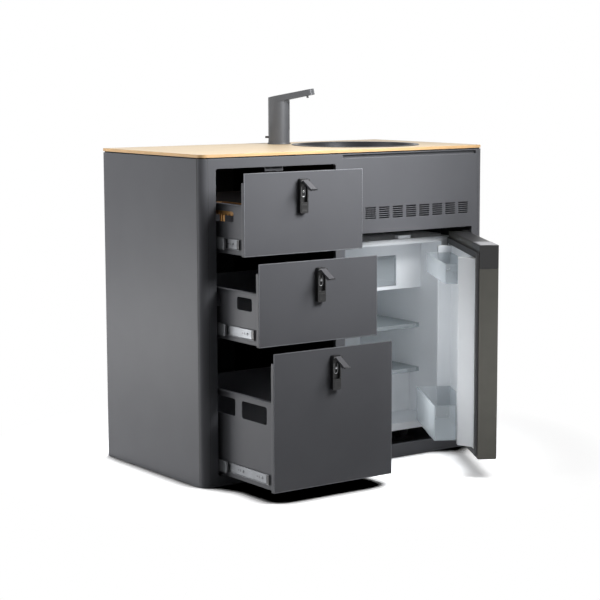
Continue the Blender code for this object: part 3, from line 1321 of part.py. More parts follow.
def build_ice_box():
    """Evaporator compartment at the top of the cavity, with a fascia that its flap closes."""
    low = at(CAVITY_LEFT + GAP, ICE_BOX_FRONT, ICE_BOX_BOTTOM)
    high = at(CAVITY_RIGHT - GAP, CAVITY_BACK - GAP, CAVITY_TOP - GAP)
    box = block(low, high)
    file_away(box, "ice_box", WHITE_PLASTIC)
    wall = Vector((ICE_BOX_WALL, ICE_BOX_WALL, ICE_BOX_WALL))
    hollow_low = low + wall
    hollow_low.y = low.y + ICE_BOX_FASCIA
    cut(box, block(hollow_low, high - wall), "ice_box_hollow")
    opening_low = at(FLAP_LEFT, ICE_BOX_FRONT - OVERRUN, FLAP_BOTTOM)
    opening_high = at(FLAP_RIGHT, ICE_BOX_FRONT + 2 * OVERRUN, FLAP_TOP)
    cut(box, block(opening_low, opening_high), "ice_box_opening")
    pin_y = ICE_BOX_FRONT + FLAP_PIN_SETBACK
    pin_z = FLAP_TOP - FLAP_PIN_DROP
    ear_low = pin_z - 2 * FLAP_PIN_RADIUS
    ear_high = FLAP_TOP + OVERRUN
    for side, x, outward in (("left", FLAP_LEFT, -1), ("right", FLAP_RIGHT, 1)):
        near = x
        far = x + outward * FLAP_PIN_LENGTH
        lug_low = at(min(near, far), ICE_BOX_FRONT + ICE_BOX_FASCIA / 2, ear_low)
        lug_high = at(max(near, far), pin_y + 2 * FLAP_PIN_RADIUS, ear_high)
        join(box, block(lug_low, lug_high), f"flap_lug_{side}")
        inner = x - outward * FLAP_PIN_LENGTH / 2
        pin = round_bar(FLAP_PIN_RADIUS, at(inner, pin_y, pin_z), at(x + outward * FLAP_PIN_RADIUS, pin_y, pin_z), 8)
        join(box, pin, f"flap_pin_{side}")


def build_ice_box_flap():
    """Clear flap that swings inwards on two pins."""
    play = FLAP_PLAY
    pin_y = ICE_BOX_FRONT + FLAP_PIN_SETBACK
    pin_z = FLAP_TOP - FLAP_PIN_DROP
    low = at(FLAP_LEFT + play, pin_y - FLAP_THICKNESS / 2, FLAP_BOTTOM + play)
    high = at(FLAP_RIGHT - play, pin_y + FLAP_THICKNESS / 2, pin_z)
    flap = block(low, high)
    file_away(flap, "ice_box_flap", WHITE_PLASTIC)
    knuckle = FLAP_PIN_RADIUS + FLAP_THICKNESS / 2
    roll = round_bar(knuckle, at(FLAP_LEFT + play, pin_y, pin_z), at(FLAP_RIGHT - play, pin_y, pin_z), 2 * ARC_STEPS)
    join(flap, roll, "flap_roll")
    bore = FLAP_PIN_RADIUS + GAP
    for side, x, outward in (("left", FLAP_LEFT, -1), ("right", FLAP_RIGHT, 1)):
        start = at(x - outward * FLAP_PIN_LENGTH, pin_y, pin_z)
        end = at(x + outward * FLAP_PIN_LENGTH, pin_y, pin_z)
        cut(flap, round_bar(bore, start, end, 2 * ARC_STEPS), f"flap_bore_{side}")
    axis = joint_empty("ice_box_flap_axis", at((FLAP_LEFT + FLAP_RIGHT) / 2, pin_y, pin_z))
    hang_on([flap], axis)


def build_glass_shelves():
    """Two glass shelves with a front trim; the lower one lies on the step over the compressor."""
    for shelf in SHELVES:
        low = at(CAVITY_LEFT + GAP, SHELF_FRONT, shelf["top"] - SHELF_GLASS)
        high = at(CAVITY_RIGHT - GAP, SHELF_BACK, shelf["top"])
        pane = block(low, high)
        file_away(pane, shelf["name"], GLASS)
        trim_low = at(CAVITY_LEFT + GAP, SHELF_FRONT, shelf["top"] - SHELF_TRIM_HEIGHT)
        trim_high = at(CAVITY_RIGHT - GAP, SHELF_FRONT + SHELF_TRIM_DEPTH, shelf["top"])
        join(pane, block(trim_low, trim_high), f"{shelf['name']}_trim")


def door_point(along, inward, z):
    """A point on the shut door: along from the hinge pin, inward from the outer face."""
    return at(HINGE_X - along, inward, z)


def door_block(along, inward, height):
    first = door_point(along[0], inward[0], height[0])
    second = door_point(along[1], inward[1], height[1])
    low = Vector(map(min, first, second))
    high = Vector(map(max, first, second))
    return block(low, high)


def build_door_shell():
    shell = door_block((-DOOR_HINGE_REACH, DOOR_FREE_REACH), (0, DOOR_SHELL_DEPTH), (DOOR_BOTTOM, DOOR_TOP))
    file_away(shell, "fridge_door_shell", OLIVE_METAL)
    corner = door_block(
        (DOOR_FREE_REACH - LATCH_BLOCK_LENGTH, DOOR_FREE_REACH + OVERRUN),
        (-OVERRUN, DOOR_SHELL_DEPTH + OVERRUN),
        (DOOR_TOP - LATCH_BLOCK_DROP, DOOR_TOP + OVERRUN),
    )
    cut(shell, corner, "door_latch_corner")
    pin_hole = HINGE_PIN_RADIUS + HINGE_PIN_PLAY
    for name, start, end in (
        ("top", DOOR_TOP - HINGE_PIN_LENGTH, DOOR_TOP + OVERRUN),
        ("bottom", DOOR_BOTTOM - OVERRUN, DOOR_BOTTOM + HINGE_PIN_LENGTH),
    ):
        hole = round_bar(pin_hole, door_point(0, HINGE_Y, start), door_point(0, HINGE_Y, end), 2 * ARC_STEPS)
        cut(shell, hole, f"door_pin_hole_{name}")
    return shell


def build_door_latch_block():
    """Dark latch body in the door's upper free corner, with a grip hollow in its free end."""
    start = DOOR_FREE_REACH - LATCH_BLOCK_LENGTH + GAP
    low = DOOR_TOP - LATCH_BLOCK_DROP + GAP
    high = DOOR_TOP + LATCH_BLOCK_RISE
    body = door_block((start, DOOR_FREE_REACH), (0, DOOR_SHELL_DEPTH), (low, high))
    file_away(body, "fridge_door_latch", BLACK_PLASTIC)
    middle = (low + high) / 2
    grip = door_block(
        (DOOR_FREE_REACH - LATCH_BLOCK_LENGTH / 2, DOOR_FREE_REACH - LATCH_BLOCK_GRIP / 2),
        (-OVERRUN, LATCH_BLOCK_GRIP_DEPTH),
        (middle - LATCH_BLOCK_GRIP / 2, middle + LATCH_BLOCK_GRIP / 2),
    )
    cut(body, grip, "door_latch_grip")
    return body


def door_ring(along_low, along_high, low, high, width, inward, depth, radius):
    """A frame that lies on the door's inner face."""
    right = LEFT + HINGE_X - along_low
    left = LEFT + HINGE_X - along_high
    outer = rounded((left, low), (right, high), radius, 2)
    inner = rectangle((left + width, low + width), (right - width, high - width))
    return prism([outer, inner], depth, front_frame_at(FRONT + inward + depth / 2))


def build_door_seal():
    seal = door_ring(
        -DOOR_HINGE_REACH + SEAL_HINGE_INSET,
        DOOR_FREE_REACH - SEAL_INSET,
        SEAL_BOTTOM,
        SEAL_TOP,
        SEAL_WIDTH,
        DOOR_SHELL_DEPTH + GAP,
        SEAL_DEPTH,
        SEAL_RADIUS,
    )
    return file_away(seal, "fridge_door_seal", RUBBER)


def build_door_liner():
    """White inner panel: a flat sheet with raised side walls and a foot, between which the bins hang."""
    inward = DOOR_SHELL_DEPTH + GAP
    margin = SEAL_WIDTH + GAP
    sheet = door_block(
        (SEAL_HINGE_INSET + margin - DOOR_HINGE_REACH, DOOR_FREE_REACH - SEAL_INSET - margin),
        (inward, inward + SEAL_DEPTH),
        (SEAL_BOTTOM + SEAL_WIDTH + GAP, SEAL_TOP - SEAL_WIDTH - GAP),
    )
    file_away(sheet, "fridge_door_liner", WHITE_PLASTIC)
    face = inward + SEAL_DEPTH
    outer_low = (LINER_HINGE_SIDE, LINER_BOTTOM)
    outer_high = (LINER_FREE_SIDE, LINER_TOP)
    free_foot = LINER_FREE_SIDE + LINER_FREE_SPREAD
    section = [
        (LINER_HINGE_SIDE, face - LINER_SHEET),
        (LINER_HINGE_SIDE, face + LINER_DEPTH),
        (LINER_FREE_SIDE, face + LINER_DEPTH),
        (free_foot, face),
        (free_foot, face - LINER_SHEET),
    ]
    plan = [door_point(along, depth, 0).xy for along, depth in section]
    raised = prism([plan], LINER_TOP - LINER_BOTTOM, plan_frame((LINER_TOP + LINER_BOTTOM) / 2))
    join(sheet, raised, "door_liner_raised")
    hollow = door_block(
        (outer_low[0] + LINER_WALL, outer_high[0] - LINER_WALL),
        (face, face + LINER_DEPTH + OVERRUN),
        (outer_low[1] - OVERRUN, outer_high[1] + OVERRUN),
    )
    cut(sheet, hollow, "door_liner_hollow")
    return sheet


def build_door_bin(name, bottom, height, proud):
    """Open-topped bin between the liner's side walls, standing proud of them."""
    inward = DOOR_SHELL_DEPTH + GAP + SEAL_DEPTH + GAP
    start = LINER_HINGE_SIDE + LINER_WALL + BIN_SIDE_GAP
    end = LINER_FREE_SIDE - LINER_WALL - BIN_SIDE_GAP
    depth = LINER_DEPTH + proud
    tray = door_block((start, end), (inward, inward + depth), (bottom, bottom + height))
    file_away(tray, name, CLEAR_PLASTIC)
    hollow = door_block(
        (start + BIN_WALL, end - BIN_WALL),
        (inward + BIN_WALL, inward + depth - BIN_WALL),
        (bottom + BIN_WALL, bottom + height + OVERRUN),
    )
    cut(tray, hollow, f"{name}_hollow")
    return tray


def build_hinges():
    """Top and bottom brackets on the fridge cabinet, each with a pin that goes into the door."""
    half = HINGE_ARM_WIDTH / 2
    x = HINGE_X
    for name, door_face, cabinet_face, pin_end in (
        ("top", DOOR_TOP + GAP, FRIDGE_TOP + GAP, DOOR_TOP - HINGE_PIN_LENGTH + GAP),
        ("bottom", DOOR_BOTTOM - GAP, FRIDGE_BOTTOM - GAP, DOOR_BOTTOM + HINGE_PIN_LENGTH - GAP),
    ):
        outward = 1 if name == "top" else -1
        near = max(door_face, cabinet_face) if name == "top" else min(door_face, cabinet_face)
        far = near + outward * HINGE_PLATE
        low = at(x - half, HINGE_ARM_FRONT, min(near, far))
        high = at(FRIDGE_RIGHT, FRIDGE_FRONT + HINGE_ARM_BACK, max(near, far))
        plate = block(low, high)
        file_away(plate, f"hinge_{name}", DARK_COAT)
        if abs(cabinet_face - near) > GAP:
            fill_low = at(x - half, FRIDGE_FRONT, min(cabinet_face, far))
            fill_high = at(FRIDGE_RIGHT, FRIDGE_FRONT + HINGE_ARM_BACK, max(cabinet_face, far))
            join(plate, block(fill_low, fill_high), f"hinge_{name}_foot")
        pin_root = at(x, HINGE_Y, near + outward * HINGE_PLATE / 2)
        pin = round_bar(HINGE_PIN_RADIUS, at(x, HINGE_Y, pin_end), pin_root, 2 * ARC_STEPS)
        join(plate, pin, f"hinge_{name}_pin")


def build_fridge():
    build_fridge_cabinet()
    build_compressor()
    build_ice_box()
    build_ice_box_flap()
    build_glass_shelves()
    build_hinges()
    pieces = [
        build_door_shell(),
        build_door_latch_block(),
        build_door_seal(),
        build_door_liner(),
        build_door_bin("door_bin_upper", UPPER_BIN_BOTTOM, UPPER_BIN_HEIGHT, UPPER_BIN_PROUD),
        build_door_bin("door_bin_lower", LOWER_BIN_BOTTOM, LOWER_BIN_HEIGHT, LOWER_BIN_PROUD),
    ]
    hinge = joint_empty("fridge_door_axis", at(HINGE_X, HINGE_Y, DOOR_BOTTOM))
    hang_on(pieces, hinge)
    hinge.rotation_euler.z = DOOR_REST_ANGLE


clear_scene()
POD = make_collection("campervan_kitchen_pod")
CUTTERS = make_collection("cutters")
build_base_tray()
build_side_panels()
build_corner_posts()
build_back_panel()
build_front_frame()
build_runner_panel()
build_divider()
build_top_frame()
build_worktop()
build_sink()
build_tap()
build_drawers()
build_fridge()
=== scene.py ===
"""Campervan kitchen pod: finishes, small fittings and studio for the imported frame.

Everything is in metres, +Z up, with the origin at the centre of the pod's footprint on the floor.
+X is to the right of someone who stands in front of the pod, and -Y is the front.
"""

import math

import bmesh
import bpy
from mathutils import Matrix, Vector


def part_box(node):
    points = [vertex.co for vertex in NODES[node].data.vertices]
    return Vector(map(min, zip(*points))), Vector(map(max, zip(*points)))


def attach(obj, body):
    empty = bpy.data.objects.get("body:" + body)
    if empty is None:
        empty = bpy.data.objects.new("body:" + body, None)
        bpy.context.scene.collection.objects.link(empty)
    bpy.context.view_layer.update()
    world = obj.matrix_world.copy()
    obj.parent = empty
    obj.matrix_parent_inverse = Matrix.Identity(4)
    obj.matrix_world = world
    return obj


bl_info = {
    "name": "Campervan Kitchen Pod",
    "version": (1, 0, 0),
    "blender": (4, 5, 0),
    "location": "View3D > Sidebar > Kitchen Pod",
    "description": "Finishes, fittings and studio of a campervan kitchen pod",
    "category": "Object",
}

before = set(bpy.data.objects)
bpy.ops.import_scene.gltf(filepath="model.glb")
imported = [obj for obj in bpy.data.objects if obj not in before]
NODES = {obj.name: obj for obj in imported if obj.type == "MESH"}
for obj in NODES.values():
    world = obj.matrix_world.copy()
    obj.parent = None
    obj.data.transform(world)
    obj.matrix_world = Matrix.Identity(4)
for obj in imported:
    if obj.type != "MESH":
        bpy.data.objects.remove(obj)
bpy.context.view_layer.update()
DRAWERS = ("drawer_1", "drawer_2", "drawer_3")
MEMBERS = ("fixed", "middle", "moving")
SIDES = {"left": -1, "right": 1}
FRONT = (0, -1, 0)
UP = (0, 0, 1)

# Places and sizes of the carried-over pieces that the fittings sit on
GAP = 0.0003
RUNNER_SHEET = 0.0012
LATCH_PROUD = 0.0115
LATCH_RECESS_DEPTH = 0.008
LATCH_PIVOT_PROUD = 0.0157
FRIDGE_FOOT_TOP = 0.056
CAVITY_LEFT = 0.028
CAVITY_RIGHT = 0.370
SINK_CENTRE = (0.196, -0.016)
TAP_CENTRE = (0.052, 0.158)
DOOR_PIVOT = (0.413, -0.242, 0.0)
DOOR_PIVOT_DEPTH = 0.008
DOOR_SHELL_DEPTH = 0.051
DOOR_ANGLE = math.radians(60)
SINK_WALL = 0.1636
HINGE_SCREWS = ((0.4070, -0.1660), (0.4200, -0.1660))

# Two faces that meet are kept out of one plane by a hair or a small lap
HAIR = 0.00005
LAP = 0.0002
WELD_REACH = 0.00002
# The part of a face's normal that points along an axis, for flat faces and for slightly turned ones
FLAT = 0.99
FLAT_WITH_ROUND = 0.9
SHARP = math.radians(50)
SMOOTH = math.radians(35)
SINK_SMOOTH = math.radians(38)

# Runner fittings
SCREW_FIRST = 0.033
SCREW_STEP = 0.086
SCREW_COUNT = 5
SCREW_TURN = 0.4
SLOT_OFFSET = 0.013
CROSS_SLOT_OFFSET = 0.022
BUFFER_HALF = 0.0119
RETAINER_INSET = 0.0004
RETAINER_WIDTH = 0.0046
RETAINER_LENGTH = 0.0090
RETAINER_HALF = 0.0128

# Latch fittings: a drop is measured down from the top of the housing
LATCH_PIVOT_DROP = 0.005
BAIL_LEGS = 0.020
BAIL_CLEAR = 0.0030
BAIL_DROP = 0.0405
BUTTON_SIDE = 0.002
BUTTON_DROP = 0.0330
BUTTON_RADIUS = 0.0034
BUTTON_RISE = 0.0026
LATCH_PLATE_HALF = 0.0088
LATCH_PLATE_SPAN = (0.0048, 0.0215)
LATCH_PLATE_RISE = 0.0006
LATCH_PLATE_SEAT = 0.0010

# Housing fittings: a span is the low and the high corner of a piece
HEM_RISE = 0.0004
JOINT_DEPTH = 0.0010
SIDE_JOINT_INSET = 0.00002
SIDE_JOINT_WIDTH = 0.0030
FRONT_JOINT_LAP = 0.0006
FRONT_JOINT_WIDTH = 0.0008
KEEPER_SPAN = ((-0.2355, 0.8135), (-0.2341, 0.8268))
VENT_SPAN = ((0.080, 0.080), (0.340, 0.240))
VENT_SEAT = 0.0004
SLAT_INSET = 0.009
SLAT_FIRST = 0.0935
SLAT_STEP = 0.0150
SLAT_COUNT = 9
SLAT_HEIGHT = 0.0095
SLAT_LEAN_FROM = 0.006
SLAT_RISE = 0.0005
RIVET_INSET = 0.012
RIVET_GRID = (6, 5)

# Sink and tap fittings
STRAINER_RADIUS = 0.0300
STRAINER_HEIGHT = 0.0022
STRAINER_DISH = 0.0012
KNOB_HEIGHT = 0.0075
STRAINER_SLOT_COUNT = 16
STRAINER_SLOT_RING = 0.0155
STRAINER_SLOT_LEVEL = 0.0011
ROSETTE_RADIUS = 0.0125
ROSETTE_HEIGHT = 0.0030
ROSETTE_HOLE = 0.0016
OVERFLOW_LEVEL = 0.8300
OVERFLOW_LEAN = 0.12
TAP_RING_RADIUS = 0.0335
TAP_RING_HEIGHT = 0.0042

# Fridge fittings: the door's trim is placed in the frame of the shut door, with X from its pivot
LEDGE_WIDTH = 0.0080
LEDGE_INSET = 0.012
LEDGE_DEPTH = 0.0062
LEDGE_CLEAR = 0.0004
GRIP_HALF = 0.0180
GRIP_RISE = 0.0022
GRIP_CLEAR = 0.0001
GRIP_FOOT = 0.006
GRIP_TOP = 0.014
# Radians by which a hinge screw is turned for each metre of X, so that no two stop alike
TURN_ABOVE = 40
TURN_BELOW = 60
TOP_CAP = ((-0.3318, 0.0012), (-0.0300, 0.0498))
BASE_CAP = ((-0.4255, 0.0012), (-0.0300, 0.0498))
CAP_CLEAR = 0.0001
CAP_RISE = 0.0016
CAP_DISH = 0.0002
LATCH_COVER = ((-0.4250, 0.0018), (-0.3345, 0.0492))
COVER_RISE = 0.0010
LIP_SPAN = (-0.4252, 0.0043)
LIP_START = 0.0018
LIP_OUT = 0.0012

# Studio: the camera's turns are to the right, down and about its own axis, in degrees
FLOOR_DROP = 0.0004
FLOOR_LIFT = 5.5
# Reach of the painted contact shadow on the floor
PAINTED_SHADOW_REACH = 0.09
SHADOW_FADE = (0.55, 0.9)
SHADOW_WHITENING = 0.5
CAMERA_PLACE = (-2.8359, -3.9762, 1.0773)
CAMERA_TURN = (35.606, 7.552, -0.177)


def linear(code):
    """Linear RGB of an sRGB hex colour."""
    shares = [int(code[i : i + 2], 16) / 255 for i in (1, 3, 5)]
    return tuple(c / 12.92 if c <= 0.04045 else ((c + 0.055) / 1.055) ** 2.4 for c in shares)


def colour(name, code, use):
    return bpy.props.FloatVectorProperty(
        name=name, description=use, subtype="COLOR", size=3, min=0, max=1, default=linear(code)
    )


def length(name, size, use):
    return bpy.props.FloatProperty(name=name, description=use, unit="LENGTH", min=0, default=size)


def strength(name, value, use="Strength in watts", unit="POWER"):
    return bpy.props.FloatProperty(name=name, description=use, unit=unit, min=0, default=value)


class PodColours(bpy.types.PropertyGroup):
    """Colours of the pod's finishes."""

    coat: colour("Powder coat", "#5f6064", "Grey powder coat of the housing and the drawers")
    inner_coat: colour("Inner coat", "#131314", "Black powder coat of the inner walls")
    board: colour("Bamboo board", "#ecd6b3", "Light strips of the worktop")
    board_dark: colour("Bamboo nodes", "#d6b384", "Darker fibres and nodes of the worktop")
    board_edge: colour("Board edge", "#e0b682", "Cut edge of the worktop")
    rack: colour("Rack bamboo", "#b98a52", "Bamboo of the cutlery rack")
    sink: colour("Sink black", "#2a2b2e", "Black coating of the sink")
    tap: colour("Tap grey", "#54565a", "Anthracite coating of the tap")
    latch: colour("Latch black", "#171718", "Moulded latch housing")
    lever: colour("Lever grey", "#57575b", "Latch levers")
    zinc: colour("Zinc", "#6f7174", "Zinc plate of the runners and screws")
    steel: colour("Bright steel", "#98999b", "Latch wires, buttons and the keeper")
    nylon: colour("Grey nylon", "#6c6e71", "End pieces of the middle runners")
    liner: colour("Fridge white", "#e4e8ec", "Moulded white of the fridge's inside")
    cover: colour("Latch cover", "#939397", "Cover plate of the fridge latch")
    clear: colour("Clear plastic", "#dbe4ea", "Tint of the door bins")
    glass: colour("Shelf glass", "#c6d0d4", "Tint of the glass shelves")
    door: colour("Door metal", "#403f3a", "Coated metal of the fridge door")
    seal: colour("Door seal", "#2b2b2d", "Rubber of the door seal and the feet")


class PodSizes(bpy.types.PropertyGroup):
    """Sizes of the small fittings."""

    screw_head: length("Screw head", 0.0066, "Diameter of the pan-head screws")
    screw_rise: length("Screw rise", 0.0016, "Height of the pan heads")
    sheet_round: length("Sheet edge round", 0.0005, "Rounding of the folded sheet edges")
    pan_round: length("Drawer front round", 0.0014, "Rounding of the drawer fronts' edges")
    board_round: length("Board edge round", 0.0020, "Rounding of the worktop's edges")
    moulded_round: length("Moulded edge round", 0.0016, "Rounding of the moulded fridge parts")
    small_round: length("Small edge round", 0.0005, "Rounding of the latches and the rack")
    buffer_length: length("Runner buffer", 0.0110, "Length of the black end pieces of the runners")
    hem: length("Front hem", 0.0021, "Width of the raised rim of the drawer fronts")
    keeper_width: length("Keeper width", 0.0560, "Width of the bright keeper plate")


class PodStudio(bpy.types.PropertyGroup):
    """Camera and lamps."""

    lens: strength("Lens", 104.52, "Focal length in mm", "CAMERA")
    key: strength("Front lamp", 11)
    side: strength("Side lamp", 56)
    low: strength("Low lamp", 22)
    edge: strength("Door edge lamp", 0.5)
    top: strength("Top lamp", 15)
    fill: strength("Fill light", 0.08, "Strength of the world", "NONE")
    fridge: strength("Fridge lamp", 0.07)
    door: strength("Door lamp", 0.6)


def deselect():
    if bpy.context.mode != "OBJECT":
        bpy.ops.object.mode_set(mode="OBJECT")
    bpy.ops.object.select_all(action="DESELECT")


def make_active(piece):
    deselect()
    piece.select_set(True)
    bpy.context.view_layer.objects.active = piece


def pick(piece, wanted, kind="faces"):
    """Selects the faces, edges or vertices that wanted accepts, and leaves the piece in edit mode."""
    make_active(piece)
    bpy.ops.object.mode_set(mode="EDIT")
    bpy.ops.mesh.select_mode(type={"faces": "FACE", "edges": "EDGE", "verts": "VERT"}[kind])
    bpy.ops.mesh.select_all(action="DESELECT")
    work = bmesh.from_edit_mesh(piece.data)
    work.normal_update()
    for part in getattr(work, kind):
        part.select_set(bool(wanted(part)))
    work.select_flush_mode()
    bmesh.update_edit_mesh(piece.data)


def leave_edit():
    bpy.ops.object.mode_set(mode="OBJECT")


def settle(piece):
    """Applies a piece's place, turn and size to its mesh, and turns its faces outwards."""
    make_active(piece)
    bpy.ops.object.transform_apply(location=True, rotation=True, scale=True)
    bpy.ops.object.mode_set(mode="EDIT")
    bpy.ops.mesh.select_all(action="SELECT")
    bpy.ops.mesh.normals_make_consistent(inside=False)
    leave_edit()


def soften(piece, width, steps=2):
    """Rounds the sharp edges of a piece."""
    pick(piece, lambda edge: False, "edges")
    bpy.ops.mesh.edges_select_sharp(sharpness=SHARP)
    bpy.ops.mesh.bevel(offset=width, segments=steps, affect="EDGES", clamp_overlap=True)
    leave_edit()


def dish(piece, normal, rim, depth, share=FLAT):
    """Sinks the face that looks along normal, inside a rim. A lower share takes in its rounding."""
    normal = Vector(normal)
    pick(piece, lambda face: face.normal.dot(normal) > share)
    bpy.ops.mesh.inset(thickness=rim)
    bpy.ops.transform.translate(value=-normal * depth)
    leave_edit()


def add_block(low, high, soft, steps=2):
    """A block between two corners, with rounded edges."""
    low = Vector(low)
    high = Vector(high)
    deselect()
    bpy.ops.mesh.primitive_cube_add(size=1, location=(low + high) / 2, scale=high - low)
    piece = bpy.context.object
    settle(piece)
    soften(piece, soft, steps)
    return piece


def add_round(radius, start, end, soft, sides=24):
    """A round bar from one point to another, with rounded rims."""
    start = Vector(start)
    along = Vector(end) - start
    deselect()
    bpy.ops.mesh.primitive_cylinder_add(vertices=sides, radius=radius, depth=along.length)
    piece = bpy.context.object
    piece.matrix_world = facing(start + along / 2, along)
    settle(piece)
    soften(piece, soft)
    return piece


def facing(place, normal, turn=0.0):
    """Takes a model that faces +Z to a place, facing along normal."""
    aim = Vector(normal).to_track_quat("Z", "Y").to_matrix().to_4x4()
    return Matrix.Translation(place) @ aim @ Matrix.Rotation(turn, 4, "Z")


def dress(piece, finish):
    """Gives a new piece its material and shading."""
    settle(piece)
    piece.data.materials.clear()
    piece.data.materials.append(bpy.data.materials[finish])
    bpy.ops.object.shade_smooth_by_angle(angle=SMOOTH)
    return piece


def hand_over(piece, name, body, finish):
    """Finishes a piece, names it and hangs it on its body."""
    dress(piece, finish)
    piece.name = name
    piece.data.name = name
    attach(piece, body)


def merge(pieces):
    """Joins several pieces into the first."""
    deselect()
    for piece in pieces:
        piece.select_set(True)
    bpy.context.view_layer.objects.active = pieces[0]
    if len(pieces) > 1:
        bpy.ops.object.join()
    return pieces[0]


def set_out(model, moves, name, body):
    """One piece made of copies of a dressed model, one for each matrix in moves."""
    parts = []
    for move in moves:
        part = bpy.data.objects.new(name, model.data.copy())
        part.data.transform(move)
        bpy.context.scene.collection.objects.link(part)
        parts.append(part)
    made = merge(parts)
    made.name = name
    made.data.name = name
    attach(made, body)


def draw_out(move):
    """Extrudes what is selected by move."""
    bpy.ops.mesh.extrude_region_move(TRANSFORM_OT_translate={"value": move})


def flanks(box, out):
    """The outer and the inner X of a box that stands on the left, with out at -1, or on the right."""
    left, right = box[0].x, box[1].x
    return (left, right) if out < 0 else (right, left)


def put_away(model):
    bpy.data.objects.remove(model, do_unlink=True)


def pan_head(radius, rise):
    """A pan-head screw that faces +Z, with a cross recess of four arms that narrow to the middle."""
    deselect()
    middle = (0, 0, rise / 2)
    bpy.ops.mesh.primitive_cylinder_add(vertices=16, radius=radius, depth=rise, location=middle)
    head = bpy.context.object
    settle(head)
    pick(head, lambda edge: all(v.co.z > rise * 0.9 for v in edge.verts), "edges")
    bpy.ops.mesh.bevel(offset=rise * 0.6, segments=3, affect="EDGES")
    leave_edit()
    pick(head, lambda face: face.normal.z > FLAT)
    bpy.ops.mesh.inset(thickness=radius * 0.28)
    leave_edit()

    def in_recess(vert):
        return vert.co.z > rise * 0.9 and vert.co.xy.length < radius * 0.62

    def between_arms(vert):
        turn = math.degrees(math.atan2(vert.co.y, vert.co.x)) % 90
        return in_recess(vert) and abs(turn - 45) < 12

    pick(head, between_arms, "verts")
    bpy.ops.transform.resize(value=(0.42, 0.42, 1))
    leave_edit()
    pick(head, lambda face: face.normal.z > FLAT and all(in_recess(v) for v in face.verts))
    draw_out((0, 0, -rise * 0.55))
    leave_edit()
    return head


def painted_hole_shade(width, height, depth=0.0003, dip=0.0001):
    """A shallow black oval that faces +Z: painted shade for the dark inside of a slotted hole."""
    deselect()
    bpy.ops.mesh.primitive_cylinder_add(
        vertices=20, radius=width / 2, depth=depth, location=(0, 0, HAIR)
    )
    piece = bpy.context.object
    piece.scale = (1, height / width, 1)
    settle(piece)
    dish(piece, UP, rim=width * 0.12, depth=dip)
    return piece


def frame_ring(low, high, width, depth, soft):
    """A rectangular ring between two corners in X and Z, depth thick towards +Y from low."""
    low = Vector(low)
    high = Vector(high)
    size = high - low
    deselect()
    bpy.ops.mesh.primitive_plane_add(size=1, location=(0, 0, 0), rotation=(math.pi / 2, 0, 0))
    ring = bpy.context.object
    ring.scale = (size.x, size.z, 1)
    ring.location = ((low.x + high.x) / 2, low.y, (low.z + high.z) / 2)
    settle(ring)
    pick(ring, lambda face: True)
    bpy.ops.mesh.inset(thickness=width)
    bpy.ops.mesh.delete(type="FACE")
    bpy.ops.mesh.select_all(action="SELECT")
    draw_out((0, depth, 0))
    leave_edit()
    settle(ring)
    soften(ring, soft)
    return ring


def add_node(tree, kind, settings=(), sockets=()):
    """Adds a node, sets its properties, and fills or links its input sockets."""
    made = tree.nodes.new(kind)
    for key, value in dict(settings).items():
        setattr(made, key, value)
    for key, value in dict(sockets).items():
        if isinstance(value, bpy.types.NodeSocket):
            tree.links.new(value, made.inputs[key])
        else:
            made.inputs[key].default_value = value
    return made


def calculate(tree, operation, *values):
    """The result of a math node on plain values or sockets."""
    made = add_node(tree, "ShaderNodeMath", {"operation": operation}, dict(enumerate(values)))
    return made.outputs[0]


def blend(tree, share, first, second):
    """Mixes two shaders, with the share of the second."""
    return add_node(tree, "ShaderNodeMixShader", sockets={0: share, 1: first, 2: second}).outputs[0]


def new_finish(name, **sockets):
    """A material with the given plain values, its Principled shader and its Object coordinates."""
    made = bpy.data.materials.new(name)
    made.use_nodes = True
    shader = made.node_tree.nodes["Principled BSDF"]
    for key, value in sockets.items():
        shader.inputs[key.replace("_", " ")].default_value = value
    place = add_node(made.node_tree, "ShaderNodeTexCoord")
    return made.node_tree, shader, place.outputs["Object"]


def ramp(tree, source, stops):
    """A colour ramp on source, with stops of (position, colour)."""
    made = add_node(tree, "ShaderNodeValToRGB", sockets={"Fac": source})
    elements = made.color_ramp.elements
    while len(elements) < len(stops):
        elements.new(1.0)
    for element, (position, shade) in zip(elements, stops):
        element.position = position
        element.color = (*shade, 1.0)
    return made.outputs["Color"]


def mix(tree, share, first, second):
    """Mixes two colours, each a plain colour or a socket."""
    made = add_node(tree, "ShaderNodeMix", {"data_type": "RGBA"}, {"Factor": share})
    for socket, value in zip(made.inputs[6:8], (first, second)):
        if isinstance(value, bpy.types.NodeSocket):
            tree.links.new(value, socket)
        else:
            socket.default_value = (*value, 1.0)
    return made.outputs[2]


def dim(shade, factor):
    return tuple(min(1.0, c * factor) for c in shade)


def bump(tree, shader, height, distance, rounded=None):
    """Raises the surface by a pattern, on normals that are rounded at the edges if given."""
    made = add_node(tree, "ShaderNodeBump", sockets={"Height": height, "Distance": distance})
    if rounded:
        tree.links.new(rounded, made.inputs["Normal"])
    tree.links.new(made.outputs["Normal"], shader.inputs["Normal"])


def vary(tree, socket, source, low, high):
    """Drives a shader's socket from a pattern, between two values."""
    sockets = {"Value": source, "To Min": low, "To Max": high}
    made = add_node(tree, "ShaderNodeMapRange", sockets=sockets)
    tree.links.new(made.outputs["Result"], socket)


def background_ray(tree):
    """1 for rays that see a white background: the camera's, and those off gloss or through glass."""
    ray = add_node(tree, "ShaderNodeLightPath")
    seen = ray.outputs["Is Camera Ray"]
    for kind in ("Is Glossy Ray", "Is Transmission Ray"):
        seen = calculate(tree, "MAXIMUM", seen, ray.outputs[kind])
    return seen


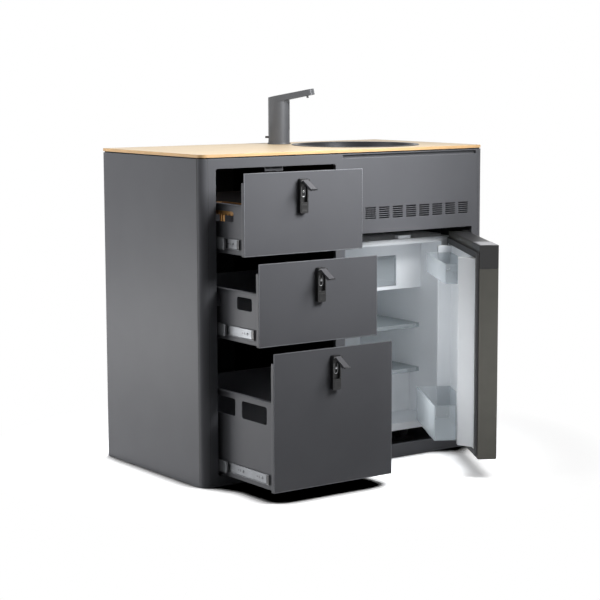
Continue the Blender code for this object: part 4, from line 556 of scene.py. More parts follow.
def noise(tree, place, size, detail=3.0, stretch=(1.0, 1.0, 1.0)):
    """Noise whose blots are about size metres across, times stretch along each axis."""
    scale = tuple(1 / (size * s) for s in stretch)
    lines = add_node(tree, "ShaderNodeMapping", sockets={"Vector": place, "Scale": scale})
    made = add_node(
        tree, "ShaderNodeTexNoise", sockets={"Vector": lines.outputs[0], "Scale": 1.0, "Detail": detail}
    )
    return made.outputs["Fac"]


def coat_finish(name, shade, rough):
    """Polyester powder coat, sprayed and baked: a faint orange peel, a broad, soft sheen, and a painted
    highlight along its edges.
    """
    tree, shader, place = new_finish(name, IOR=1.5, Specular_IOR_Level=0.15)
    # The real grit is about 0.1 mm and is drawn at 0.8 mm so that it shows
    peel = noise(tree, place, size=0.0008)
    cloud = noise(tree, place, size=0.14)
    tone = ramp(tree, cloud, [(0.35, dim(shade, 0.965)), (0.65, dim(shade, 1.03))])
    # Painted highlight: the coat is lightened along its edges, where the shading normals are rounded to
    # about 2 mm, standing in for the light those rounded edges catch
    rounded = add_node(tree, "ShaderNodeBevel", {"samples": 6}, {"Radius": 0.0024})
    surface = add_node(tree, "ShaderNodeNewGeometry")
    turn = add_node(
        tree,
        "ShaderNodeVectorMath",
        {"operation": "DOT_PRODUCT"},
        {0: rounded.outputs["Normal"], 1: surface.outputs["Normal"]},
    )
    painted_edge_highlight = ramp(tree, turn.outputs["Value"], [(0.78, (0.85, 0.85, 0.85)), (0.985, (0, 0, 0))])
    tree.links.new(mix(tree, painted_edge_highlight, tone, dim(shade, 1.9)), shader.inputs["Base Color"])
    vary(tree, shader.inputs["Roughness"], peel, rough - 0.05, rough + 0.05)
    bump(tree, shader, peel, distance=0.0001, rounded=rounded.outputs["Normal"])


def bamboo_finish(name, shades, strip, along="X"):
    """Side-pressed bamboo under hard oil: glued strips, darker nodes along them, and fine fibres."""
    light, dark, edge = shades
    tree, shader, place = new_finish(name, IOR=1.5, Roughness=0.42)
    split = add_node(tree, "ShaderNodeSeparateXYZ", sockets={"Vector": place})
    across = split.outputs["Y" if along == "X" else "X"]
    number = calculate(tree, "FLOOR", calculate(tree, "DIVIDE", across, strip))
    chance = add_node(tree, "ShaderNodeTexWhiteNoise", {"noise_dimensions": "1D"}, {"W": number})
    # A cane has a node about every 250 mm, and each strip starts somewhere else along its cane
    shift = calculate(tree, "MULTIPLY_ADD", chance.outputs["Value"], 0.25, split.outputs[along])
    wave = calculate(tree, "PINGPONG", shift, 0.125)
    node_mark = ramp(tree, wave, [(0.0, (0.45, 0.45, 0.45)), (0.003, (0, 0, 0))])
    # Fibres about 1 mm wide and 50 mm long
    stretch = (50.0, 1.0, 1.0) if along == "X" else (1.0, 50.0, 1.0)
    fibre = noise(tree, place, size=0.0011, detail=3.0, stretch=stretch)
    strips = mix(tree, chance.outputs["Value"], dim(light, 0.93), light)
    grained = mix(tree, ramp(tree, fibre, [(0.42, (0, 0, 0)), (0.78, (0.6, 0.6, 0.6))]), strips, dark)
    knotted = mix(tree, node_mark, grained, dim(dark, 0.8))
    # Upright faces, the board's cut edges, take a darker colour with layers across them
    surface = add_node(tree, "ShaderNodeNewGeometry")
    normal = add_node(tree, "ShaderNodeSeparateXYZ", sockets={"Vector": surface.outputs["True Normal"]})
    level = calculate(tree, "ABSOLUTE", normal.outputs["Z"])
    upright = ramp(tree, level, [(0.3, (1, 1, 1)), (0.9, (0, 0, 0))])
    layers = noise(tree, place, size=0.0013, detail=2.0, stretch=(30.0, 30.0, 1.0))
    cut = ramp(tree, layers, [(0.35, dim(edge, 0.86)), (0.65, dim(edge, 1.12))])
    tree.links.new(mix(tree, upright, knotted, cut), shader.inputs["Base Color"])
    rounded = add_node(tree, "ShaderNodeBevel", {"samples": 6}, {"Radius": 0.0015})
    bump(tree, shader, fibre, distance=0.0001, rounded=rounded.outputs["Normal"])


def metal_finish(name, shade, rough, metallic, line, stretch):
    """Drawn, brushed or coated metal: fine lines along the work vary its gloss."""
    tree, shader, place = new_finish(name, Metallic=metallic)
    grain = noise(tree, place, line, stretch=stretch)
    cloud = noise(tree, place, size=0.03)
    tone = ramp(tree, cloud, [(0.35, dim(shade, 0.94)), (0.65, dim(shade, 1.05))])
    tree.links.new(tone, shader.inputs["Base Color"])
    vary(tree, shader.inputs["Roughness"], grain, rough - 0.07, rough + 0.07)
    bump(tree, shader, grain, distance=0.00004)


def moulded_finish(name, shade, rough):
    """Injection-moulded plastic or rubber: an even colour with the faint grain of an eroded mould."""
    tree, shader, place = new_finish(name, IOR=1.49)
    grain = noise(tree, place, size=0.0012, detail=2.0)
    cloud = noise(tree, place, size=0.11)
    tone = ramp(tree, cloud, [(0.35, dim(shade, 0.97)), (0.65, dim(shade, 1.03))])
    tree.links.new(tone, shader.inputs["Base Color"])
    vary(tree, shader.inputs["Roughness"], grain, rough - 0.05, rough + 0.05)
    bump(tree, shader, grain, distance=0.00006)


def liner_finish(name, shade, foot):
    """Vacuum-formed polystyrene: smooth and softly glossy, with the fridge's rubber feet in black."""
    tree, shader, place = new_finish(name, IOR=1.55, Specular_IOR_Level=0.45)
    waves = noise(tree, place, size=0.05, detail=2.0)
    split = add_node(tree, "ShaderNodeSeparateXYZ", sockets={"Vector": place})
    tone = ramp(tree, waves, [(0.3, dim(shade, 0.975)), (0.7, shade)])
    is_foot = calculate(tree, "LESS_THAN", split.outputs["Z"], FRIDGE_FOOT_TOP)
    tree.links.new(mix(tree, is_foot, tone, foot), shader.inputs["Base Color"])
    vary(tree, shader.inputs["Roughness"], waves, 0.26, 0.34)
    bump(tree, shader, waves, distance=0.0004)


def clear_finish(name, shade, rough, low, high, ior):
    """Clear sheet: seen through face on, and paler where the eye grazes it."""
    tree, shader, place = new_finish(name, IOR=ior)
    haze = noise(tree, place, size=0.02, detail=2.0)
    tone = ramp(tree, haze, [(0.3, dim(shade, 0.95)), (0.7, shade)])
    tree.links.new(tone, shader.inputs["Base Color"])
    vary(tree, shader.inputs["Roughness"], haze, rough, rough + 0.06)
    rim = add_node(tree, "ShaderNodeLayerWeight", sockets={"Blend": 0.35})
    vary(tree, shader.inputs["Alpha"], rim.outputs["Facing"], low, high)


# The carried-over pieces by finish
CARRIED = {
    "powder_coat_grey": (
        *("base_tray", "back_panel", "front_frame"),
        *(f"{part}_{side}" for part in ("side_panel", "corner_post") for side in SIDES),
        *(f"{drawer}_{part}" for drawer in DRAWERS for part in ("front", "box")),
    ),
    "powder_coat_black": (
        # The top frame shows only in the joint under the worktop, and its black there partly stands in
        # for that joint's shade: painted shade
        *("runner_panel", "divider_wall", "top_frame", "compressor"),
        *("hinge_top", "hinge_bottom"),
    ),
    "bamboo_board": ("worktop",),
    "bamboo_rack": ("drawer_1_insert",),
    "black_coated_steel": ("sink_bowl",),
    "anthracite_brass": ("tap_body", "tap_lever"),
    "coated_door_metal": ("fridge_door_shell",),
    "black_abs": (*(f"{drawer}_latch_housing" for drawer in DRAWERS), "fridge_door_latch"),
    "grey_abs": tuple(f"{drawer}_latch_lever" for drawer in DRAWERS),
    "white_polystyrene": ("fridge_cabinet", "ice_box", "fridge_door_liner"),
    "seal_rubber": ("fridge_door_seal",),
    "clear_polystyrene": ("door_bin_upper", "door_bin_lower", "ice_box_flap"),
    "shelf_glass": ("glass_shelf_upper", "glass_shelf_lower"),
    "zinc_plated_steel": (
        "sink_waste",
        *(f"{drawer}_runner_{part}_{side}" for drawer in DRAWERS for part in MEMBERS for side in SIDES),
    ),
}
# The finishes by the size that rounds their edges
ROUNDED = {
    "sheet_round": ("powder_coat_grey", "powder_coat_black", "zinc_plated_steel"),
    "board_round": ("bamboo_board",),
    "moulded_round": ("white_polystyrene", "coated_door_metal"),
    "small_round": ("bamboo_rack", "black_abs", "grey_abs", "anthracite_brass", "seal_rubber"),
}


class POD_OT_finishes(bpy.types.Operator):
    """Makes the pod's materials"""

    bl_idname = "pod.finishes"
    bl_label = "Finishes"

    def execute(self, context):
        colours = context.scene.pod_colours
        c = {name: tuple(getattr(colours, name)) for name in PodColours.__annotations__}
        coat_finish("powder_coat_grey", c["coat"], rough=0.44)
        # A lighter copy of the grey coat for the raised rims of the drawer fronts: a painted highlight
        coat_finish("powder_coat_edge", dim(c["coat"], 1.7), rough=0.40)
        coat_finish("powder_coat_black", c["inner_coat"], rough=0.55)
        board = (c["board"], c["board_dark"], c["board_edge"])
        bamboo_finish("bamboo_board", board, strip=0.020)
        rack = (c["rack"], dim(c["rack"], 0.75), dim(c["rack"], 0.9))
        bamboo_finish("bamboo_rack", rack, strip=0.007, along="Y")
        # Nano-coated steel of the sink keeps a brushed look under its black coat
        lines = {"line": 0.0011, "stretch": (1.0, 1.0, 12.0)}
        metal_finish("black_coated_steel", c["sink"], rough=0.34, metallic=0.6, **lines)
        # The tap is brass under an anthracite coat, so its lines run up the column
        lines = {"line": 0.0010, "stretch": (1.0, 1.0, 16.0)}
        metal_finish("anthracite_brass", c["tap"], rough=0.42, metallic=0.15, **lines)
        # Bright zinc shows the drawing lines of the rolled runner sections along Y
        lines = {"line": 0.0010, "stretch": (1.0, 30.0, 1.0)}
        metal_finish("zinc_plated_steel", c["zinc"], rough=0.42, metallic=0.9, **lines)
        lines = {"line": 0.0008, "stretch": (12.0, 1.0, 1.0)}
        metal_finish("brushed_steel", c["steel"], rough=0.28, metallic=1.0, **lines)
        lines = {"line": 0.0010, "stretch": (1.0, 1.0, 25.0)}
        metal_finish("coated_door_metal", c["door"], rough=0.46, metallic=0.10, **lines)
        moulded_finish("black_abs", c["latch"], rough=0.40)
        moulded_finish("grey_abs", c["lever"], rough=0.36)
        moulded_finish("white_nylon", c["nylon"], rough=0.45)
        moulded_finish("pale_grey_abs", c["cover"], rough=0.35)
        moulded_finish("seal_rubber", c["seal"], rough=0.62)
        liner_finish("white_polystyrene", c["liner"], c["seal"])
        clear_finish("clear_polystyrene", c["clear"], rough=0.08, low=0.14, high=0.80, ior=1.59)
        clear_finish("shelf_glass", c["glass"], rough=0.04, low=0.22, high=0.90, ior=1.52)
        return {"FINISHED"}


class POD_OT_dress_frame(bpy.types.Operator):
    """Gives the carried-over pieces their materials and rounds their sharp edges"""

    bl_idname = "pod.dress_frame"
    bl_label = "Dress the frame"

    def execute(self, context):
        sizes = context.scene.pod_sizes
        for finish, names in CARRIED.items():
            for name in names:
                node = NODES[name]
                if not node.material_slots:
                    node.data.materials.append(None)
                for place in node.material_slots:
                    place.material = bpy.data.materials[finish]
        for size, finishes in ROUNDED.items():
            for finish in finishes:
                for name in CARRIED[finish]:
                    is_pan = name.endswith("_front") and name != "front_frame"
                    self.round_edges(NODES[name], sizes.pan_round if is_pan else getattr(sizes, size))
        # The bowl's many facets are too fine to round, so it is smooth and only its corners are split
        bowl = NODES["sink_bowl"]
        self.join_and_smooth(bowl)
        bowl.modifiers.new("Corners", "EDGE_SPLIT").split_angle = SINK_SMOOTH
        return {"FINISHED"}

    def join_and_smooth(self, node):
        """Joins the node's loose triangles and shades them smooth."""
        node.modifiers.new("Join", "WELD").merge_threshold = WELD_REACH
        for face in node.data.polygons:
            face.use_smooth = True

    def round_edges(self, node, width):
        """Clears the node's flat faces of inner edges and rounds what is sharp."""
        self.join_and_smooth(node)
        # The liner's inner face runs round its walls, and rounded as one face it would fold over itself
        if node.name != "fridge_door_liner":
            flat = node.modifiers.new("Flat", "DECIMATE")
            flat.decimate_type = "DISSOLVE"
            flat.angle_limit = math.radians(1)
        soft = node.modifiers.new("Round", "BEVEL")
        soft.width = width
        soft.segments = 2
        soft.limit_method = "ANGLE"
        soft.angle_limit = SHARP
        soft.use_clamp_overlap = True
        even = node.modifiers.new("Even", "WEIGHTED_NORMAL")
        even.mode = "FACE_AREA"
        even.weight = 100


class POD_OT_runner_fittings(bpy.types.Operator):
    """Adds the screws, slotted holes and end pieces of the telescopic runners"""

    bl_idname = "pod.runner_fittings"
    bl_label = "Runner fittings"

    def execute(self, context):
        sizes = context.scene.pod_sizes
        screw = dress(pan_head(sizes.screw_head / 2, sizes.screw_rise), "zinc_plated_steel")
        hole = dress(painted_hole_shade(width=0.0032, height=0.0062), "black_abs")
        for drawer in DRAWERS:
            for side, out in SIDES.items():
                self.fit_moving(drawer, side, out, screw, hole, sizes.buffer_length)
                self.fit_middle(drawer, side, out)
        put_away(screw)
        put_away(hole)
        return {"FINISHED"}

    def fit_moving(self, drawer, side, out, screw, hole, buffer_length):
        """Screws, slots and the black buffer of the member that the drawer hangs on."""
        low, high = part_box(f"{drawer}_runner_moving_{side}")
        lip, web = flanks((low, high), out)
        web += out * RUNNER_SHEET
        level = (low.z + high.z) / 2
        starts = [low.y + SCREW_FIRST + i * SCREW_STEP for i in range(SCREW_COUNT)]
        aim = (out, 0, 0)
        screws = [facing((web, y, level), aim, SCREW_TURN * i) for i, y in enumerate(starts)]
        set_out(screw, screws, f"{drawer}_runner_screws_{side}", drawer)
        # The slotted holes are black ovals on the web: painted shade for their dark insides
        holes = [facing((web, y + SLOT_OFFSET, level), aim) for y in starts]
        holes += [facing((web, y + CROSS_SLOT_OFFSET, level), aim, math.pi / 2) for y in starts]
        set_out(hole, holes, f"{drawer}_runner_slots_{side}", drawer)
        ends = sorted((web, lip + out * HAIR))
        buffer = add_block(
            (ends[0], low.y + LAP, level - BUFFER_HALF),
            (ends[1], low.y + buffer_length, level + BUFFER_HALF),
            soft=0.0006,
        )
        # A hollow across the buffer gives the fingers of the catch something to hold
        dish(buffer, aim, rim=0.0016, depth=0.0007, share=FLAT_WITH_ROUND)
        hand_over(buffer, f"{drawer}_runner_buffer_{side}", drawer, "black_abs")

    def fit_middle(self, drawer, side, out):
        """The nylon ball retainer in the front end of the middle member."""
        low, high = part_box(f"{drawer}_runner_middle_{side}")
        level = (low.z + high.z) / 2
        web = flanks((low, high), out)[0] - out * RUNNER_SHEET
        ends = sorted((web, web - out * RETAINER_WIDTH))
        retainer = add_block(
            (ends[0], low.y + RETAINER_INSET, level - RETAINER_HALF),
            (ends[1], low.y + RETAINER_LENGTH, level + RETAINER_HALF),
            soft=0.0008,
        )
        dish(retainer, FRONT, rim=0.0012, depth=0.0012, share=FLAT_WITH_ROUND)
        name = f"{drawer}_runner_retainer_{side}"
        hand_over(retainer, name, f"{drawer}_middle", "white_nylon")


class POD_OT_latch_fittings(bpy.types.Operator):
    """Adds the bail, button, pin heads and plate of each drawer latch"""

    bl_idname = "pod.latch_fittings"
    bl_label = "Latch fittings"

    def execute(self, context):
        bail = dress(self.bend_bail(), "brushed_steel")
        head = dress(pan_head(radius=0.0020, rise=0.0006), "brushed_steel")
        for drawer in DRAWERS:
            low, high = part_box(f"{drawer}_latch_housing")
            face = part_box(f"{drawer}_front")[0].y - GAP - LATCH_PROUD
            floor = face + LATCH_RECESS_DEPTH
            middle = (low.x + high.x) / 2
            hung = Matrix.Translation((middle, floor - BAIL_CLEAR, high.z - BAIL_DROP))
            set_out(bail, [hung], f"{drawer}_latch_bail", drawer)
            pivot = Vector((middle, face + LATCH_PROUD - LATCH_PIVOT_PROUD, high.z - LATCH_PIVOT_DROP))
            half = (high.x - low.x) / 2
            rivets = [facing(pivot + Vector((turn * half, 0, 0)), (turn, 0, 0)) for turn in (-1, 1)]
            set_out(head, rivets, f"{drawer}_latch_pin_heads", drawer)
            self.add_button(drawer, Vector((middle + BUTTON_SIDE, floor, high.z - BUTTON_DROP)))
            self.add_plate(drawer, middle, face, low.z)
        put_away(bail)
        put_away(head)
        return {"FINISHED"}

    def bend_bail(self):
        """A wire loop: half a ring with two straight legs, which hangs in the recess."""
        deselect()
        bpy.ops.mesh.primitive_torus_add(
            major_radius=0.0058,
            minor_radius=0.0008,
            major_segments=24,
            minor_segments=8,
            rotation=(math.pi / 2, 0, 0),
        )
        bail = bpy.context.object
        settle(bail)
        pick(bail, lambda vert: vert.co.z > HAIR, "verts")
        bpy.ops.mesh.delete(type="VERT")
        leave_edit()
        pick(bail, lambda edge: edge.is_boundary, "edges")
        draw_out((0, 0, BAIL_LEGS))
        bpy.ops.mesh.edge_face_add()
        leave_edit()
        return bail

    def add_button(self, drawer, centre):
        """The bright button under the bail, with a dished face."""
        seat = centre + Vector((0, LAP, 0))
        button = add_round(BUTTON_RADIUS, seat, centre - Vector((0, BUTTON_RISE, 0)), soft=0.0006)
        dish(button, FRONT, rim=0.0009, depth=0.0008)
        hand_over(button, f"{drawer}_latch_button", drawer, "brushed_steel")

    def add_plate(self, drawer, middle, face, foot):
        """The smooth bare plate in the lower half of the housing."""
        low, high = (foot + rise for rise in LATCH_PLATE_SPAN)
        plate = add_block(
            (middle - LATCH_PLATE_HALF, face - LATCH_PLATE_RISE, low),
            (middle + LATCH_PLATE_HALF, face + LATCH_PLATE_SEAT, high),
            soft=0.0005,
        )
        dish(plate, FRONT, rim=0.0010, depth=0.0003)
        hand_over(plate, f"{drawer}_latch_plate", drawer, "black_abs")


class POD_OT_housing_fittings(bpy.types.Operator):
    """Adds the hems, joints and keeper plate of the front, and the vent and rivets of the back"""

    bl_idname = "pod.housing_fittings"
    bl_label = "Housing fittings"

    def execute(self, context):
        sizes = context.scene.pod_sizes
        self.add_hems(sizes.hem)
        self.add_joints()
        self.add_keeper_plate(sizes.keeper_width)
        self.add_vent()
        self.add_rivets()
        return {"FINISHED"}

    def add_hems(self, width):
        """The raised rim that folding leaves along the edges of each drawer front, in a lighter copy of
        the grey coat as a painted highlight.
        """
        for drawer in DRAWERS:
            low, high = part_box(f"{drawer}_front")
            face = low.y - HEM_RISE
            ends = (low.x, face, low.z), (high.x, face, high.z)
            hem = frame_ring(*ends, width, depth=0.0008, soft=0.0003)
            hand_over(hem, f"{drawer}_front_hem", drawer, "powder_coat_edge")

    def add_joints(self):
        """The sealed joints where the corner posts meet the side panels and the front."""
        low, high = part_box("front_frame")
        seams = []
        for side, out in SIDES.items():
            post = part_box(f"corner_post_{side}")
            back = post[1].y
            outer, inner = flanks(post, out)
            # The post curves away there, so that the joint shows without standing out of the side
            ends = sorted((outer - out * SIDE_JOINT_INSET, outer - out * JOINT_DEPTH))
            seams.append(((ends[0], back - SIDE_JOINT_WIDTH), (ends[1], back + LAP)))
            near, far = inner - FRONT_JOINT_LAP, inner + FRONT_JOINT_WIDTH
            seams.append(((near, low.y - HAIR), (far, low.y + JOINT_DEPTH)))
        ends = [((*near, low.z), (*far, high.z)) for near, far in seams]
        joints = [add_block(*pair, soft=0.0002, steps=1) for pair in ends]
        hand_over(merge(joints), "panel_joints", "pod", "seal_rubber")

    def add_keeper_plate(self, width):
        """A bright plate over the keeper that the top latch hooks behind."""
        middle = sum(corner.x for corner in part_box("drawer_1_front")) / 2
        (near, foot), (far, top) = KEEPER_SPAN
        ends = (middle - width / 2, near, foot), (middle + width / 2, far, top)
        plate = add_block(*ends, soft=0.0004)
        dish(plate, FRONT, rim=0.0018, depth=0.0003)
        hand_over(plate, "keeper_plate", "pod", "brushed_steel")

    def add_vent(self):
        """A louvred grille behind the fridge, let into the back panel."""
        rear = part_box("back_panel")[1].y
        seat = rear - VENT_SEAT
        (left, foot), (right, top) = VENT_SPAN
        ends = (left, seat, foot), (right, seat, top)
        ring = frame_ring(*ends, width=0.010, depth=0.0011, soft=0.0004)
        slats = []
        for row in range(SLAT_COUNT):
            base = SLAT_FIRST + row * SLAT_STEP
            low = (left + SLAT_INSET, seat, base)
            high = (right - SLAT_INSET, rear + SLAT_RISE, base + SLAT_HEIGHT)
            slat = add_block(low, high, soft=0.0003, steps=1)
            pick(slat, lambda vert: vert.co.z > base + SLAT_LEAN_FROM and vert.co.y > rear, "verts")
            bpy.ops.transform.translate(value=(0, -SLAT_RISE, 0))
            leave_edit()
            slats.append(slat)
        hand_over(merge([ring, *slats]), "back_vent", "pod", "black_abs")

    def add_rivets(self):
        """Blind rivets that hold the back panel, each with a dished head."""
        low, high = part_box("back_panel")
        deselect()
        bpy.ops.mesh.primitive_cylinder_add(
            vertices=16, radius=0.0032, depth=0.0009, location=(0, 0, LAP)
        )
        head = bpy.context.object
        settle(head)
        soften(head, width=0.0004)
        dish(head, UP, rim=0.0012, depth=0.0003)
        dress(head, "zinc_plated_steel")
        columns, rows = RIVET_GRID
        across = (high.x - low.x - 2 * RIVET_INSET) / columns
        upward = (high.z - low.z - 2 * RIVET_INSET) / rows
        left, right = low.x + RIVET_INSET, high.x - RIVET_INSET
        foot, top = low.z + RIVET_INSET, high.z - RIVET_INSET
        spots = {(left + i * across, z) for i in range(columns + 1) for z in (foot, top)}
        spots |= {(x, foot + i * upward) for i in range(1, rows) for x in (left, right)}
        moves = [facing((x, high.y, z), (0, 1, 0)) for x, z in sorted(spots)]
        set_out(head, moves, "back_rivets", "pod")
        put_away(head)


class POD_OT_sink_fittings(bpy.types.Operator):
    """Adds the strainer and overflow of the sink and the ring under the tap"""

    bl_idname = "pod.sink_fittings"
    bl_label = "Sink fittings"

    def execute(self, context):
        self.add_strainer()
        self.add_overflow()
        self.add_tap_ring()
        return {"FINISHED"}

    def add_strainer(self):
        """A dished strainer over the waste, with a knob in its middle and a ring of slots, whose dark
        insides are painted shade.
        """
        x, y = SINK_CENTRE
        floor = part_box("sink_waste")[1].z
        top = floor + STRAINER_HEIGHT
        strainer = add_round(STRAINER_RADIUS, (x, y, floor + LAP), (x, y, top), soft=0.0008, sides=40)
        pick(strainer, lambda face: face.normal.z > FLAT)
        bpy.ops.mesh.inset(thickness=0.0050)
        bpy.ops.transform.translate(value=(0, 0, -STRAINER_DISH))
        bpy.ops.mesh.inset(thickness=0.0190)
        draw_out((0, 0, KNOB_HEIGHT))
        bpy.ops.mesh.bevel(offset=0.0012, segments=3, affect="EDGES")
        leave_edit()
        hand_over(strainer, "sink_strainer", "pod", "brushed_steel")
        # The slots are black ovals on the strainer: painted shade for their dark insides
        hole = dress(painted_hole_shade(width=0.0032, height=0.0090), "black_abs")
        base = Matrix.Translation((x, y, floor + STRAINER_SLOT_LEVEL))
        ring = Matrix.Translation((0, STRAINER_SLOT_RING, 0))
        count = STRAINER_SLOT_COUNT
        moves = [base @ Matrix.Rotation(i * math.tau / count, 4, "Z") @ ring for i in range(count)]
        set_out(hole, moves, "sink_strainer_holes", "pod")
        put_away(hole)

    def add_overflow(self):
        """A round rosette on the back wall of the bowl, with its dark hole."""
        x, y = SINK_CENTRE
        rosette = add_round(ROSETTE_RADIUS, (0, 0, 0), (0, 0, ROSETTE_HEIGHT), soft=0.0010, sides=32)
        pick(rosette, lambda face: face.normal.z > FLAT)
        bpy.ops.mesh.inset(thickness=0.0050)
        draw_out((0, 0, -ROSETTE_HOLE))
        leave_edit()
        rosette.matrix_world = facing((x, y + SINK_WALL, OVERFLOW_LEVEL), (0, -1, OVERFLOW_LEAN))
        hand_over(rosette, "sink_overflow", "pod", "black_coated_steel")

    def add_tap_ring(self):
        """The ring between the tap's column and the worktop."""
        x, y = TAP_CENTRE
        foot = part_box("worktop")[1].z
        top = foot + TAP_RING_HEIGHT
        ring = add_round(TAP_RING_RADIUS, (x, y, foot + LAP), (x, y, top), soft=0.0012, sides=48)
        hand_over(ring, "tap_base_ring", "pod", "anthracite_brass")


class POD_OT_fridge_fittings(bpy.types.Operator):
    """Adds the ledges, screws, end caps and gasket of the fridge"""

    bl_idname = "pod.fridge_fittings"
    bl_label = "Fridge fittings"

    def execute(self, context):
        self.add_ledges()
        self.add_flap_grip()
        self.add_hinge_screws(context.scene.pod_sizes)
        # The door's trim is made as if the door were shut, and then turned with it
        door = Matrix.Translation(DOOR_PIVOT) @ Matrix.Rotation(DOOR_ANGLE, 4, "Z")
        door = door @ Matrix.Translation((0, -DOOR_PIVOT_DEPTH, 0))
        self.add_end_caps(door)
        self.add_latch_cover(door)
        self.add_gasket_lip(door)
        return {"FINISHED"}

    def add_ledges(self):
        """Ribs on both walls that carry the glass shelves."""
        ribs = []
        for shelf in ("glass_shelf_lower", "glass_shelf_upper"):
            low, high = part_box(shelf)
            front, foot, top = low.y + LEDGE_INSET, low.z - LEDGE_DEPTH, low.z - LEDGE_CLEAR
            for wall, inward in ((CAVITY_LEFT, 1), (CAVITY_RIGHT, -1)):
                near = wall + inward * LAP
                ends = sorted((near, near + inward * LEDGE_WIDTH))
                corners = (ends[0], front, foot), (ends[1], high.y, top)
                ribs.append(add_block(*corners, soft=0.0020, steps=3))
        hand_over(merge(ribs), "shelf_ledges", "pod", "white_polystyrene")

    def add_flap_grip(self):
        """The raised lip that a finger pulls the ice box flap by."""
        low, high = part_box("ice_box_flap")
        middle = (low.x + high.x) / 2
        near, far = low.y - GRIP_RISE, low.y - GRIP_CLEAR
        foot, top = low.z + GRIP_FOOT, low.z + GRIP_TOP
        ends = (middle - GRIP_HALF, near, foot), (middle + GRIP_HALF, far, top)
        grip = add_block(*ends, soft=0.0008, steps=3)
        hand_over(grip, "ice_box_flap_grip", "ice_box_flap", "clear_polystyrene")

    def add_hinge_screws(self, sizes):
        """Two screws through each hinge bracket into the cabinet, each stopped at another turn."""
        screw = dress(pan_head(sizes.screw_head / 2, sizes.screw_rise), "zinc_plated_steel")
        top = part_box("hinge_top")[1].z
        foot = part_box("hinge_bottom")[0].z
        moves = []
        for x, y in HINGE_SCREWS:
            moves.append(facing((x, y, top), UP, x * TURN_ABOVE))
            moves.append(facing((x, y, foot), (0, 0, -1), x * TURN_BELOW))
        set_out(screw, moves, "hinge_screws", "pod")
        put_away(screw)

    def add_end_caps(self, door):
        """Black caps that close the door's shell above and below."""
        low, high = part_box("fridge_door_shell")
        start, end = TOP_CAP
        top = add_block((*start, high.z + CAP_CLEAR), (*end, high.z + CAP_RISE), soft=0.0006)
        start, end = BASE_CAP
        base = add_block((*start, low.z - CAP_RISE), (*end, low.z - CAP_CLEAR), soft=0.0006)
        for cap in (top, base):
            pick(cap, lambda face: abs(face.normal.z) > FLAT)
            bpy.ops.mesh.inset(thickness=0.0030)
            bpy.ops.transform.shrink_fatten(value=-CAP_DISH)
            leave_edit()
        caps = merge([top, base])
        caps.matrix_world = door
        hand_over(caps, "door_end_caps", "fridge_door", "black_abs")

    def add_latch_cover(self, door):
        """The pale plate on top of the door's latch block."""
        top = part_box("fridge_door_latch")[1].z
        start, end = LATCH_COVER
        cover = add_block((*start, top + CAP_CLEAR), (*end, top + COVER_RISE), soft=0.0004)
        dish(cover, UP, rim=0.0040, depth=0.0003)
        cover.matrix_world = door
        hand_over(cover, "door_latch_cover", "fridge_door", "pale_grey_abs")

    def add_gasket_lip(self, door):
        """The seal's lip. It stands out sideways, as the seal's face meets the cabinet when shut."""
        low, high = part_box("fridge_door_seal")
        face = DOOR_SHELL_DEPTH + LIP_START
        left, right = LIP_SPAN
        ends = (left, face, low.z - LIP_OUT), (right, face, high.z + LIP_OUT)
        bead = frame_ring(*ends, width=0.0040, depth=0.0024, soft=0.0008)
        bead.matrix_world = door
        hand_over(bead, "door_gasket_bead", "fridge_door", "seal_rubber")


# Each lamp's setting, place, target, width and height, and spread in degrees
LAMPS = {
    "front_softbox": ("key", (0.30, -1.25, 1.55), (-0.2, -0.25, 1.0), (0.8, 0.8), 90),
    "side_softbox": ("side", (-4.6, 3.6, 0.5), (-0.45, 0.0, 0.3), (2.5, 1.0), 180),
    "low_softbox": ("low", (-1.9, 1.5, 0.06), (-0.45, 0.1, 0.0), (1.2, 0.2), 180),
    "top_softbox": ("top", (-1.6, 0.5, 1.9), (-0.2, 0.0, 0.8), (1.4, 1.4), 180),
    "edge_softbox": ("edge", (-0.15, -1.25, 0.22), (0.25, -0.60, 0.27), (0.25, 0.5), 45),
    "fridge_lamp": ("fridge", (0.165, -0.33, 0.47), (0.21, 0.0, 0.42), (0.10, 0.30), 180),
    "door_lamp": ("door", (0.020, -0.36, 0.34), (0.26, -0.46, 0.34), (0.08, 0.44), 180),
}
LAMPS_WITHOUT_SHEEN = ("side_softbox", "edge_softbox")


